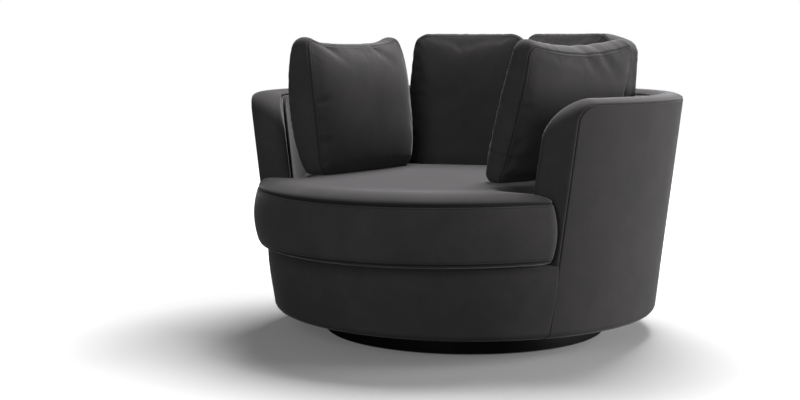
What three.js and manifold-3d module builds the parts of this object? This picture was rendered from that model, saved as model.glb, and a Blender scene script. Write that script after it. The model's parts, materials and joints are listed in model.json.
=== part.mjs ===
// Swivel cuddle chair: a round upholstered tub on a turning plinth, with loose seat, back and scatter cushions.
// Millimetres. The floor is z = 0, the chair faces -Y, and it turns about the Z axis.

import * as THREE from 'three';
import { mergeVertices } from 'three/addons/utils/BufferGeometryUtils.js';
import Module from 'manifold-3d';

const wasm = await Module();
wasm.setup();

// Fits and cuts
const fitGap = 0.3;             // between neighbours that touch
const screwPlay = 0.4;          // round a screw or bolt in its hole
const overrun = 60;             // how far a cutting block runs past what it cuts

// Plinth
const glideThickness = 3;
const glideRadius = 30;         // the middle glide
const glideRingWidth = 22;
const glideRingInset = 6;       // from the plinth's edge to the ring of felt under it
const plinthRadius = 425;
const skirtThickness = 16;
const plinthBoardThickness = 24.5;
const runningGap = 4;           // between the plinth's skirt and the turning tub

// Swivel
const plateRadius = 155;
const plateThickness = 3;
const bearingThickness = 10;
const bearingWidth = 24;
const bearingRadius = 132;      // outside of the bearing ring
const boltRadius = 8;
const boltHeadRadius = 15;
const boltHeadHeight = 7;
const nutRadius = 14;
const nutHeight = 8;
const nutPocketRadius = 22;
const screwRadius = 2.2;
const screwHeadRadius = 5;
const screwHeadHeight = 2.5;
const screwLength = 12;
const screwCircleRadius = 143;
const screwCount = 3;

// Tub wall, measured at its upholstered faces
const wallRadius = 650;         // outside, at the seam under the rim
const seamHeight = 703;         // the seam under the rim
const wallFlare = 0.113;        // outward run for each unit of rise, a slope
const wallThickness = 85;
const armSetback = 298;         // from the wall's foremost line back to the upright plane of the arm fronts
const bottomRounding = 25;
const coverThickness = 3;
const undersideThickness = 1.7;
const coverTurnUnder = 55;      // how far the cover turns in under the tub
const rimCrown = 17;            // how far the border strip swells above its seams
const rimCornerOuter = 45;      // corner of the strip's outer edge, from arm front to rim
const rimCornerInner = 100;     // corner of its inner edge
const borderInnerDrop = 8;      // how far its inner edge lies behind its seams on the arm fronts
const borderInnerRise = 6;      // how far it lies above them along the rim
const borderWrapDepth = 112;    // how far the strip runs back along the inside of an arm
const borderWrapDrop = 14;      // how far it runs down inside the rim, above the lining's edge
const baseBoardThickness = 18;
const wadding = 12;
const frameDepth = 33;
const liningProud = 8;          // the lining pad stands this far inside the border strip
const liningThickness = 14;
const liningCorner = 40;

// Frame and seat deck
const deckHeight = 277;         // top of the front rail and of the deck's felt
const feltThickness = 10;
const deckClothThickness = 1.5;
const uprightThickness = 18;
const uprightCount = 5;
const uprightSweepDegrees = 184;
const railThickness = 18;
const springRailWidth = 42;
const springRailHeight = 22;
const frontBoardThickness = 20;
const springWireRadius = 1.9;
const springCount = 4;
const springSpacing = 132;
const springWave = 96;          // length of one full wave
const springSwing = 24;         // half the spring's width
const stripWidth = 16;          // the steel strips that hold the springs' ends
const stripThickness = 3;
const stripEndLength = 72;      // past the last spring
const railPadWidth = 92;        // the padded top of the front rail, from its face inwards
const railEdgeCut = 9;          // softened edge between its face and its top

// Seat cushion
const seatOverhang = 88.1;      // its seams, ahead of the front rail
const seatWallClearance = 4;
const seatEarClearance = 3;     // behind the ears, to the arm fronts' swell
const seatEarInset = 38;        // from the arm's outer seam to the ear's tip
const seatUnderSwell = 14;
const seatBoxing = 154;
const seatCrown = 31;
const seatCrownRun = 120;
const seatRearCrown = 21;       // where the back cushions press it down
const seatPressLead = 10;       // how far ahead of them it is pressed fully
const seatPressRun = 70;        // over how far it falls to there
const seatSideSwell = 14;

// Back cushions
const backYawDegrees = 18;
const backLeanDegrees = 10;
const backThickness = 146;
const backHeight = 436;
const backCrown = 36;
const backRearCrown = 20;
const backMeetingGap = 2.4;
const backSideSwell = 6;
const backSidePull = 5;
const backCorner = 44;
const backWallClearance = 3.5;
const backEndRoom = 191.3;      // its width falls short of the lining's radius by this

// Scatter cushions
const scatterHeight = 408;
const scatterThickness = 60;
const scatterCrown = 46;
const scatterSidePull = 16;
const scatterCorner = 26;
const scatterSideSwell = 5;
const scatterEndRoom = 83.3;    // its width falls short of the lining's radius by this
const rightScatterYawDegrees = 76.5;
const rightScatterLeanDegrees = 16;
const rightScatterOutset = 26;  // its lower rear corner, out past the back cushion's lower front corner
const rightScatterLead = 19.5;  // and ahead of it
const leftScatterYawDegrees = 86;
const leftScatterLeanDegrees = 7;
const leftScatterOutset = -32.5;
const leftScatterLead = 81.5;

// Cushion insides
const pillowSink = 12;          // how much of a standing cushion's lower edge is pressed flat
const coreInset = 16;           // from a cushion's face to its core
const zipLength = 240;
const zipHeight = 8;
const crownRunShare = 0.42;     // how far in from its seams a panel still rises, of its smaller side

// Facets
const wallSegments = 48;
const discSegments = 36;
const hiddenSegments = 24;
const smallSides = 10;
const pivotSides = 24;

const wallStep = 2 * Math.PI / wallSegments;

// Heights of the plinth's layers, from the floor up
const bottomBoardBase = glideThickness + fitGap;
const topBoardBase = bottomBoardBase + plinthBoardThickness + fitGap;
const lowerPlateBase = topBoardBase + plinthBoardThickness + fitGap;
const bearingBase = lowerPlateBase + plateThickness + fitGap;
const upperPlateBase = bearingBase + bearingThickness + fitGap;
const baseBoardBase = upperPlateBase + plateThickness + fitGap;
const baseBoardTop = baseBoardBase + baseBoardThickness;
const tubBottom = baseBoardBase - fitGap - undersideThickness;
const frameBase = baseBoardTop + fitGap;

// Heights of the seat deck's layers, from the top down
const feltBase = deckHeight - feltThickness;
const deckClothBase = feltBase - fitGap - deckClothThickness;
const springCentre = deckClothBase - fitGap - springWireRadius;
const stripBase = springCentre - springWireRadius - fitGap - stripThickness;
const springRailTop = stripBase - fitGap;

// Wall surfaces by height
const armFrontReach = wallRadius - armSetback;
const outerRadius = (z) => wallRadius - wallFlare * (seamHeight - z);
const innerRadius = (z) => outerRadius(z) - wallThickness;
const liningRadius = (z) => innerRadius(z) - liningProud;
const acrossAt = (radius, y) => Math.sqrt(Math.max(radius * radius - y * y, 0));
const waddingInside = coverThickness + fitGap + wadding;
const facetSag = wallRadius * (1 - Math.cos(wallStep / 2));
const frameOutside = waddingInside + fitGap + facetSag;
const frameInside = frameOutside + frameDepth;
const borderDepth = coverThickness + fitGap;
const roundTop = tubBottom + bottomRounding;
const roundRadius = outerRadius(roundTop);
const paddingBase = roundTop + fitGap;
const liningTop = seamHeight + rimCrown - borderWrapDrop;

const seatFrontReach = outerRadius(deckHeight) + seatOverhang;
const stripHalfSpan = (springCount - 1) / 2 * springSpacing + stripEndLength;

// Widths of the standing cushions
const backWidth = liningRadius(liningTop) - backEndRoom;
const scatterWidth = liningRadius(liningTop) - scatterEndRoom;

// Finishes
const finish = (color, roughness, metalness = 0) => new THREE.MeshStandardMaterial({ color, roughness, metalness });
const fabric = finish(0x454445, 0.92);
const darkCloth = finish(0x18181a, 0.95);
const lacquer = finish(0x121213, 0.45);
const plywood = finish(0xb58b5a, 0.7);
const foam = finish(0xe6dfc4, 0.95);
const felt = finish(0x6f6f6d, 0.95);
const steel = finish(0x8d9094, 0.4, 0.9);
const nylon = finish(0xdedbd2, 0.5);
const zipTape = finish(0x2a2a2c, 0.7);

// Solids and meshes

function toSolid(geometry) {
  const bare = new THREE.BufferGeometry();
  bare.setAttribute('position', geometry.getAttribute('position').clone());
  if (geometry.index) bare.setIndex(geometry.index.clone());
  const merged = mergeVertices(bare);
  const position = merged.getAttribute('position').array;
  const index = merged.index.array;
  const kept = [];
  for (let i = 0; i < index.length; i += 3) {
    const [a, b, c] = [index[i], index[i + 1], index[i + 2]];
    if (a !== b && b !== c && c !== a) kept.push(a, b, c);
  }
  const build = (order) => new wasm.Manifold(new wasm.Mesh({
    numProp: 3,
    vertProperties: Float32Array.from(position),
    triVerts: Uint32Array.from(order),
  }));
  const solid = build(kept);
  if (solid.volume() > 0) return solid;
  for (let i = 0; i < kept.length; i += 3) [kept[i], kept[i + 1]] = [kept[i + 1], kept[i]];
  return build(kept);
}

function toGeometry(solid) {
  const mesh = solid.getMesh();
  const geometry = new THREE.BufferGeometry();
  geometry.setAttribute('position', new THREE.BufferAttribute(Float32Array.from(mesh.vertProperties), 3));
  geometry.setIndex(new THREE.BufferAttribute(Uint32Array.from(mesh.triVerts), 1));
  geometry.computeVertexNormals();
  return geometry;
}

const join = (solids) => solids.reduce((whole, solid) => whole.add(solid));
const cut = (solid, ...tools) => tools.reduce((rest, tool) => rest.subtract(tool), solid);

function piece(name, material, solid) {
  const mesh = new THREE.Mesh(toGeometry(solid), material);
  mesh.name = name;
  return mesh;
}

function blockSolid(width, depth, height, x, y, z, turn = 0) {
  const geometry = new THREE.BoxGeometry(width, depth, height);
  geometry.translate(x, y, z);
  geometry.rotateZ(turn);
  return toSolid(geometry);
}

// An upright cylinder whose foot is at z.
function rodSolid(radius, height, x, y, z, sides = smallSides) {
  const geometry = new THREE.CylinderGeometry(radius, radius, height, sides);
  geometry.rotateX(Math.PI / 2);
  geometry.translate(x, y, z + height / 2);
  return toSolid(geometry);
}

// A closed profile of [radius, height] points turned about the Z axis.
function turnedSolid(profile, segments = wallSegments) {
  const points = [...profile, profile[0]].map(([r, z]) => new THREE.Vector2(r, z));
  const geometry = new THREE.LatheGeometry(points, segments);
  geometry.rotateX(Math.PI / 2);
  return toSolid(geometry);
}

const ringSolid = (inner, outer, base, height, segments) =>
  turnedSolid([[inner, base], [outer, base], [outer, base + height], [inner, base + height]], segments);

// A ring whose two faces lie at given depths behind the wall's outside, between two heights.
const wallLayer = (outerDepth, innerDepth, low, high) => turnedSolid([
  [outerRadius(low) - innerDepth, low], [outerRadius(low) - outerDepth, low],
  [outerRadius(high) - outerDepth, high], [outerRadius(high) - innerDepth, high],
]);

// The space behind the arm fronts and under the rim, with the rounded corner between them.
function armSide(front, top, corner) {
  const far = wallRadius + overrun;
  const shape = new THREE.Shape();
  shape.moveTo(far, -overrun);
  shape.lineTo(far, top);
  shape.lineTo(corner - front, top);
  shape.absarc(corner - front, top - corner, corner, Math.PI / 2, Math.PI, false);
  shape.lineTo(-front, -overrun);
  const geometry = new THREE.ExtrudeGeometry(shape, { depth: 2 * far, bevelEnabled: false, curveSegments: 2 });
  geometry.rotateX(Math.PI / 2);
  geometry.rotateZ(Math.PI / 2);
  geometry.translate(-far, 0, 0);
  return toSolid(geometry);
}

// The space ahead of an upright plane at y.
function aheadOf(y) {
  const far = 4 * wallRadius;
  return blockSolid(far, far, far, 0, y - far / 2, 0);
}

function around(count, radius, make, turn = 0) {
  return Array.from({ length: count }, (_, i) => {
    const angle = turn + 2 * Math.PI * i / count;
    return make(radius * Math.cos(angle), radius * Math.sin(angle), angle);
  });
}

// Plinth and swivel

// One turned screw, from its tip up, with its head at the top or at the foot.
function screwSolid(x, y, tip, reach, headAtFoot) {
  const shank = rodSolid(screwRadius, reach + screwHeadHeight, x, y, headAtFoot ? tip - screwHeadHeight : tip);
  const headBase = headAtFoot ? tip - screwHeadHeight - fitGap : tip + reach;
  return join([shank, rodSolid(screwHeadRadius, screwHeadHeight, x, y, headBase)]);
}

function makePlinth() {
  const group = new THREE.Group();
  const boardRadius = plinthRadius - skirtThickness - fitGap;
  const boltHole = rodSolid(boltRadius + screwPlay, tubBottom + overrun, 0, 0, 0, pivotSides);
  const skirtHeight = tubBottom - runningGap - bottomBoardBase;
  const bottomBoardTop = bottomBoardBase + plinthBoardThickness;
  const nutPocket = rodSolid(nutPocketRadius, overrun, 0, 0, bottomBoardTop - nutHeight - 2 * fitGap, discSegments / 2);
  const screwReach = screwLength + fitGap + plateThickness + fitGap;
  const screwTip = lowerPlateBase - screwLength;
  const screwHoles = around(screwCount, screwCircleRadius, (x, y) =>
    rodSolid(screwRadius + screwPlay, screwReach + fitGap, x, y, screwTip - fitGap), Math.PI / screwCount);

  group.add(piece('glide_centre', felt, rodSolid(glideRadius, glideThickness, 0, 0, 0, discSegments / 2)));
  const glideOutside = plinthRadius - glideRingInset;
  group.add(piece('glide_ring', felt, ringSolid(glideOutside - glideRingWidth, glideOutside, 0, glideThickness, hiddenSegments)));
  group.add(piece('plinth_bottom_board', plywood, cut(
    rodSolid(boardRadius, plinthBoardThickness, 0, 0, bottomBoardBase, hiddenSegments), nutPocket)));
  group.add(piece('plinth_top_board', plywood, cut(
    rodSolid(boardRadius, plinthBoardThickness, 0, 0, topBoardBase, hiddenSegments), boltHole, ...screwHoles)));
  group.add(piece('plinth_skirt', lacquer,
    ringSolid(plinthRadius - skirtThickness, plinthRadius, bottomBoardBase, skirtHeight)));
  group.add(piece('swivel_lower_plate', steel, cut(
    rodSolid(plateRadius, plateThickness, 0, 0, lowerPlateBase, discSegments), boltHole, ...screwHoles)));
  group.add(piece('bearing_ring', nylon,
    ringSolid(bearingRadius - bearingWidth, bearingRadius, bearingBase, bearingThickness, discSegments)));
  around(screwCount, screwCircleRadius, (x, y) => screwSolid(x, y, screwTip, screwReach, false),
    Math.PI / screwCount).forEach((screw, i) => group.add(piece(`lower_screw_${i + 1}`, steel, screw)));
  return group;
}

function makeTurningPlate() {
  const group = new THREE.Group();
  const nutBase = topBoardBase - fitGap - nutHeight;
  const boltHole = rodSolid(boltRadius + screwPlay, overrun, 0, 0, upperPlateBase - fitGap, pivotSides);
  const screwReach = plateThickness + fitGap + screwLength;
  const screwHoles = around(screwCount, screwCircleRadius, (x, y) =>
    rodSolid(screwRadius + screwPlay, screwReach + 2 * fitGap, x, y, upperPlateBase - fitGap));
  const bolt = join([
    rodSolid(boltRadius, baseBoardTop + boltHeadHeight - nutBase, 0, 0, nutBase, pivotSides),
    rodSolid(boltHeadRadius, boltHeadHeight, 0, 0, baseBoardTop + fitGap, 6),
  ]);
  const nut = cut(rodSolid(nutRadius, nutHeight, 0, 0, nutBase, 6),
    rodSolid(boltRadius + screwPlay, nutHeight + overrun, 0, 0, nutBase - overrun / 2, pivotSides));

  group.add(piece('swivel_upper_plate', steel, cut(
    rodSolid(plateRadius, plateThickness, 0, 0, upperPlateBase, discSegments), boltHole, ...screwHoles)));
  around(screwCount, screwCircleRadius, (x, y) => screwSolid(x, y, upperPlateBase, screwReach, true))
    .forEach((screw, i) => group.add(piece(`upper_screw_${i + 1}`, steel, screw)));
  group.add(piece('pivot_bolt', steel, bolt));
  group.add(piece('pivot_nut', steel, nut));
  const boardRadius = roundRadius - bottomRounding - fitGap;
  group.add(piece('base_board', plywood, cut(
    rodSolid(boardRadius, baseBoardThickness, 0, 0, baseBoardBase, hiddenSegments), boltHole, ...screwHoles)));
  return group;
}

// Tub frame

function makeFrame() {
  const group = new THREE.Group();
  const borderSeat = borderDepth + fitGap;
  const frameFront = armFrontReach - borderSeat;
  const frameTop = seamHeight - borderSeat;
  const corner = rimCornerInner + borderSeat;
  const frameSpace = armSide(frameFront, frameTop, corner);
  const uprightTop = frameTop - railThickness - fitGap;
  const uprightZone = wallLayer(frameOutside, frameInside, frameBase, uprightTop).intersect(frameSpace);
  const longPlate = 2 * wallRadius;
  const uprightMiddle = (frameBase + uprightTop) / 2;
  const sweep = THREE.MathUtils.degToRad(uprightSweepDegrees);
  for (let i = 0; i < uprightCount; i += 1) {
    const angle = Math.PI / 2 - sweep / 2 + sweep * i / (uprightCount - 1);
    const plate = blockSolid(longPlate, uprightThickness, seamHeight, wallRadius, 0, uprightMiddle, angle);
    group.add(piece(`upright_${i + 1}`, plywood, uprightZone.intersect(plate)));
  }
  for (const [name, side] of [['arm_post_right', 1], ['arm_post_left', -1]]) {
    const slab = blockSolid(wallRadius, uprightThickness, seamHeight,
      side * wallRadius / 2, uprightThickness / 2 - frameFront, uprightMiddle);
    group.add(piece(name, plywood, uprightZone.intersect(slab)));
  }
  group.add(piece('top_rail', plywood,
    wallLayer(frameOutside, frameInside, frameTop - railThickness, frameTop).intersect(frameSpace)));

  const railSpace = armSide(frameFront - uprightThickness - fitGap, seamHeight, rimCornerInner);
  const railDepth = frameInside + fitGap;
  group.add(piece('spring_rail_back', plywood, wallLayer(railDepth, railDepth + springRailWidth,
    springRailTop - springRailHeight, springRailTop).intersect(railSpace)));
  group.add(piece('front_rail_board', plywood,
    wallLayer(frameOutside, frameOutside + frontBoardThickness, frameBase, springRailTop)
      .intersect(aheadOf(-frameFront - fitGap))));
  return group;
}

// Seat deck

// A square-sectioned wire along a list of points.
function wireSolid(points, radius) {
  const sides = 4;
  const vertices = [];
  const index = [];
  points.forEach((point, i) => {
    const ahead = points[Math.min(i + 1, points.length - 1)];
    const behind = points[Math.max(i - 1, 0)];
    const along = new THREE.Vector3().subVectors(ahead, behind).normalize();
    const up = new THREE.Vector3(0, 0, 1);
    const across = new THREE.Vector3().crossVectors(along, up).normalize();
    const lift = new THREE.Vector3().crossVectors(across, along);
    for (let s = 0; s < sides; s += 1) {
      const angle = 2 * Math.PI * s / sides;
      vertices.push(...point.clone().addScaledVector(across, radius * Math.cos(angle))
        .addScaledVector(lift, radius * Math.sin(angle)).toArray());
    }
  });
  for (let i = 0; i < points.length - 1; i += 1) {
    for (let s = 0; s < sides; s += 1) {
      const [a, b] = [i * sides + s, i * sides + (s + 1) % sides];
      index.push(a, b, b + sides, a, b + sides, a + sides);
    }
  }
  const last = (points.length - 1) * sides;
  index.push(2, 1, 0, 3, 2, 0, last, last + 1, last + 2, last, last + 2, last + 3);
  const geometry = new THREE.BufferGeometry();
  geometry.setAttribute('position', new THREE.Float32BufferAttribute(vertices, 3));
  geometry.setIndex(index);
  return toSolid(geometry);
}

function makeDeck() {
  const group = new THREE.Group();
  const boardInside = outerRadius(springRailTop) - frameOutside - frontBoardThickness;
  const railInside = outerRadius(springRailTop) - frameInside - springRailWidth;
  const frontStrip = boardInside + frontBoardThickness / 2;
  const backStrip = railInside + springRailWidth / 2;
  for (let i = 0; i < springCount; i += 1) {
    const x = (i - (springCount - 1) / 2) * springSpacing;
    const front = -acrossAt(frontStrip, x);
    const back = acrossAt(backStrip, x);
    const stepsPerWave = 4;
    const steps = Math.max(Math.round((back - front) / springWave), 1) * stepsPerWave;
    const points = Array.from({ length: steps + 1 }, (_, k) => new THREE.Vector3(
      x + springSwing * Math.sin(2 * Math.PI * k / stepsPerWave),
      front + (back - front) * k / steps, springCentre));
    group.add(piece(`spring_${i + 1}`, steel, wireSolid(points, springWireRadius)));
  }
  const stripSolid = (radius) => ringSolid(radius - stripWidth / 2, radius + stripWidth / 2, stripBase, stripThickness);
  const nearBack = aheadOf(-acrossAt(backStrip, stripHalfSpan)).rotate([0, 0, 180]);
  group.add(piece('spring_strip_front', steel,
    stripSolid(frontStrip).intersect(aheadOf(-acrossAt(frontStrip, stripHalfSpan)))));
  group.add(piece('spring_strip_back', steel, stripSolid(backStrip).intersect(nearBack)));
  const deckRadius = liningRadius(deckClothBase) - fitGap - liningProud / 2;
  group.add(piece('deck_cloth', darkCloth,
    rodSolid(deckRadius, deckClothThickness, 0, 0, deckClothBase, hiddenSegments)));
  const railPadInside = outerRadius(deckHeight) - railPadWidth - fitGap;
  group.add(piece('deck_felt', felt,
    rodSolid(Math.min(deckRadius, railPadInside), feltThickness, 0, 0, feltBase, hiddenSegments)));
  return group;
}

// Tub padding and covers

// The strip's crowned section: share of the way from its outer to its inner edge, and share of its full swell.
const borderShares = [[0, 0], [0.1, 0.55], [0.33, 0.97], [0.62, 0.97], [0.86, 0.62]];

// How far in from the seam the strip's underside starts, as a share of its depth: clear of the outer cover.
const borderEdgeShare = 1.45;

// The least turn from the corner's last station to the rim's first, as a share of a facet.
const borderStepShare = 0.3;

// One place along the strip: its two edges, the way it faces, and where its inner side ends.
function borderStation(side, outer, inner, facing, wrap) {
  return { side, outer, inner, facing, wrap };
}

function borderStations(foot) {
  const place = (radiusAt, y, z) => new THREE.Vector3(acrossAt(radiusAt(z), y), y, z);
  const turned = (radiusAt, z, angle) =>
    new THREE.Vector3(radiusAt(z) * Math.cos(angle), radiusAt(z) * Math.sin(angle), z);
  const seam = seamHeight + 2 * fitGap;
  const front = -armFrontReach - 2 * fitGap;
  const wrapFront = front + borderWrapDepth;
  const stations = [];
  const uprightSteps = 3;
  for (let i = 0; i < uprightSteps; i += 1) {
    const share = i / uprightSteps;
    const level = (corner) => THREE.MathUtils.lerp(foot, seam - corner, share);
    stations.push(borderStation(1, place(outerRadius, front, level(rimCornerOuter)),
      place(innerRadius, front, level(rimCornerInner)), new THREE.Vector3(0, -1, 0),
      place(innerRadius, wrapFront, THREE.MathUtils.lerp(foot, liningTop + fitGap - liningCorner, share))));
  }
  const cornerSteps = 4;
  for (let i = 0; i <= cornerSteps; i += 1) {
    const turn = Math.PI / 2 * i / cornerSteps;
    const onArc = (radiusAt, corner, y, z) =>
      place(radiusAt, y + corner * (1 - Math.cos(turn)), z - corner * (1 - Math.sin(turn)));
    stations.push(borderStation(1, onArc(outerRadius, rimCornerOuter, front, seam),
      onArc(innerRadius, rimCornerInner, front, seam), new THREE.Vector3(0, -Math.cos(turn), Math.sin(turn)),
      onArc(innerRadius, liningCorner, wrapFront, liningTop + fitGap)));
  }
  const lastWrap = Math.asin(stations.at(-1).wrap.y / innerRadius(seam));
  const cornerEnd = Math.max(Math.asin(stations.at(-1).outer.y / outerRadius(seam)),
    Math.asin(stations.at(-1).inner.y / innerRadius(seam)));
  const firstStep = Math.ceil(cornerEnd / wallStep + borderStepShare);
  const right = [...stations];
  const rim = [];
  for (let k = firstStep; k <= wallSegments / 4; k += 1) {
    const angle = k * wallStep;
    const wrapAngle = angle > lastWrap ? angle : (lastWrap + angle + wallStep) / 2;
    rim.push(borderStation(1, turned(outerRadius, seam, angle), turned(innerRadius, seam, angle),
      new THREE.Vector3(0, 0, 1), turned(innerRadius, liningTop + fitGap, wrapAngle)));
  }
  const half = [...right, ...rim];
  const flip = (v) => new THREE.Vector3(-v.x, v.y, v.z);
  const left = half.slice(0, -1).reverse().map((s) => borderStation(-1, flip(s.outer), flip(s.inner),
    s.facing.clone(), flip(s.wrap)));
  return [...half, ...left];
}

// Joins equal rings of points into one closed solid, with a flat fan at each end.
function loftSolid(rings, capFrom) {
  const size = rings[0].length;
  const vertices = rings.flat().flatMap((p) => p.toArray());
  const index = [];
  for (let i = 0; i < rings.length - 1; i += 1) {
    for (let k = 0; k < size; k += 1) {
      const [a, b] = [i * size + k, i * size + (k + 1) % size];
      index.push(a, b, b + size, a, b + size, a + size);
    }
  }
  const last = (rings.length - 1) * size;
  for (const [a, b, c] of capFrom(size)) {
    index.push(c, b, a, last + a, last + b, last + c);
  }
  const geometry = new THREE.BufferGeometry();
  geometry.setAttribute('position', new THREE.Float32BufferAttribute(vertices, 3));
  geometry.setIndex(index);
  return toSolid(geometry);
}

// The end of a skin that has its outer points first and its inner points after them, in reverse.
function skinCap(size) {
  const half = size / 2;
  const triangles = [];
  for (let k = 0; k < half - 1; k += 1) {
    const [a, b, c, d] = [k, k + 1, size - 2 - k, size - 1 - k];
    triangles.push([a, b, c], [a, c, d]);
  }
  return triangles;
}

// Points across the strip's face at one station, sunk by a depth under its surface.
function borderFace({ outer, inner, facing }, depth, setIn = 0) {
  const width = outer.distanceTo(inner);
  const edge = (depth * borderEdgeShare + setIn) / width;
  const cornerLift = depth * Math.abs(facing.y * facing.z) * borderEdgeShare;
  return borderShares.map(([share, swell]) => outer.clone()
    .lerp(inner, THREE.MathUtils.lerp(edge, 1 - depth / width, share))
    .addScaledVector(facing, Math.max(rimCrown * swell - depth, cornerLift)));
}

function makeBorder() {
  const group = new THREE.Group();
  const stations = borderStations(deckHeight + fitGap);
  const intoWall = (point, depth) => {
    const level = new THREE.Vector3(point.x, point.y, 0).normalize();
    return point.clone().addScaledVector(level, depth);
  };
  const coverRings = stations.map((station) => {
    const lift = THREE.MathUtils.lerp(-borderInnerDrop, borderInnerRise, station.facing.z);
    const shoulder = station.inner.clone().addScaledVector(station.facing, lift);
    const bow = (shoulder.distanceTo(station.wrap) ** 2) / (8 * innerRadius(seamHeight));
    const bowed = intoWall(shoulder.clone().lerp(station.wrap, 0.5), bow);
    const wrapOut = [shoulder, bowed, station.wrap];
    const wrapIn = wrapOut.map((p) => intoWall(p, coverThickness));
    wrapIn[0].addScaledVector(station.facing, -coverThickness / 2);
    return [...borderFace(station, 0), ...wrapOut, ...wrapIn.reverse(), ...borderFace(station, coverThickness).reverse()];
  });
  group.add(piece('border_cover', fabric, loftSolid(coverRings, skinCap)));

  const padRings = stations.map((station) => {
    const { outer, inner, facing } = station;
    const face = borderFace(station, borderDepth + fitGap, facetSag + fitGap);
    const width = outer.distanceTo(inner);
    const base = borderShares.map(([share]) => outer.clone()
      .lerp(inner, THREE.MathUtils.lerp(borderDepth * borderEdgeShare + facetSag + fitGap, width - borderDepth * 2, share) / width)
      .addScaledVector(facing, -borderDepth));
    return [...face, ...base.reverse()];
  });
  group.add(piece('border_foam', foam, loftSolid(padRings, skinCap)));
  return group;
}

function makeTubCovers() {
  const group = new THREE.Group();
  const rounding = (sideDepth, footDepth) => Array.from({ length: 4 }, (_, i) => {
    const turn = Math.PI / 2 * i / 3;
    return [roundRadius - bottomRounding + (bottomRounding - sideDepth) * Math.cos(turn),
      roundTop - (bottomRounding - footDepth) * Math.sin(turn)];
  });
  const turnEnd = roundRadius - bottomRounding - coverTurnUnder;
  const skin = (top) => [
    [outerRadius(top), top], ...rounding(0, 0), [turnEnd, tubBottom], [turnEnd, tubBottom + undersideThickness],
    ...rounding(coverThickness, undersideThickness).reverse(), [outerRadius(top) - coverThickness, top]];
  group.add(piece('outer_cover', fabric,
    turnedSolid(skin(seamHeight)).intersect(armSide(armFrontReach, seamHeight, rimCornerOuter))));

  const padInside = outerRadius(deckHeight) - railPadWidth;
  const railEdge = (depth) => {
    const fold = depth * (Math.SQRT2 - 1);
    const low = deckHeight - railEdgeCut - fold;
    return [[outerRadius(low) - depth, low], [outerRadius(deckHeight) - railEdgeCut - fold, deckHeight - depth]];
  };
  const railSkin = [
    ...skin(deckHeight).slice(1, -1), ...railEdge(coverThickness),
    [padInside, deckHeight - coverThickness], [padInside, deckHeight], ...railEdge(0).reverse()];
  const railSpace = aheadOf(-armFrontReach - fitGap);
  group.add(piece('front_rail_cover', fabric, turnedSolid(railSkin).intersect(railSpace)));
  group.add(piece('dust_cover', darkCloth,
    ringSolid(plateRadius + runningGap, turnEnd - fitGap, tubBottom, undersideThickness, hiddenSegments)));

  const paddingSpace = armSide(armFrontReach - borderDepth - fitGap, seamHeight - borderDepth - fitGap,
    rimCornerInner + borderDepth);
  const padTop = seamHeight - borderDepth - fitGap;
  const waddingDepth = coverThickness + fitGap;
  group.add(piece('outer_wadding', foam,
    wallLayer(waddingDepth, waddingInside, paddingBase, padTop).intersect(paddingSpace)));
  const foamOutside = frameInside + fitGap + fitGap;
  const liningInside = wallThickness + liningProud;
  const wallFoot = deckClothBase;
  group.add(piece('inner_foam', foam, wallLayer(foamOutside, liningInside - liningThickness - fitGap,
    wallFoot, padTop).intersect(paddingSpace)));

  const boardTop = springRailTop + fitGap;
  const railPadTop = deckHeight - coverThickness - fitGap;
  const faceDepth = coverThickness + fitGap;
  
  const railPad = [
    [outerRadius(paddingBase) - waddingInside, paddingBase],
    [outerRadius(paddingBase) - faceDepth, paddingBase],
    ...railEdge(faceDepth),
    [padInside + fitGap, railPadTop], [padInside + fitGap, deckClothBase],
    [outerRadius(boardTop) - waddingInside, deckClothBase]];
  group.add(piece('front_rail_foam', foam, turnedSolid(railPad).intersect(railSpace)));

  const liningSpace = armSide(armFrontReach - borderWrapDepth - 2 * fitGap, liningTop - fitGap, liningCorner);
  group.add(piece('lining_pad', fabric, wallLayer(liningInside - liningThickness, liningInside,
    wallFoot, liningTop).intersect(liningSpace)));
  return group;
}

// Cushions

const distanceToOutline = (outline, x, y) => {
  let nearest = Infinity;
  outline.forEach((a, i) => {
    const b = outline[(i + 1) % outline.length];
    const [dx, dy] = [b.x - a.x, b.y - a.y];
    const share = THREE.MathUtils.clamp(((x - a.x) * dx + (y - a.y) * dy) / (dx * dx + dy * dy), 0, 1);
    nearest = Math.min(nearest, Math.hypot(x - a.x - share * dx, y - a.y - share * dy));
  });
  return nearest;
};

// How far a panel has risen at a distance from its seam, as a share of its full crown.
const crownShare = (distance, run) => 1 - (1 - Math.min(distance / run, 1)) ** 2;

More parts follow.
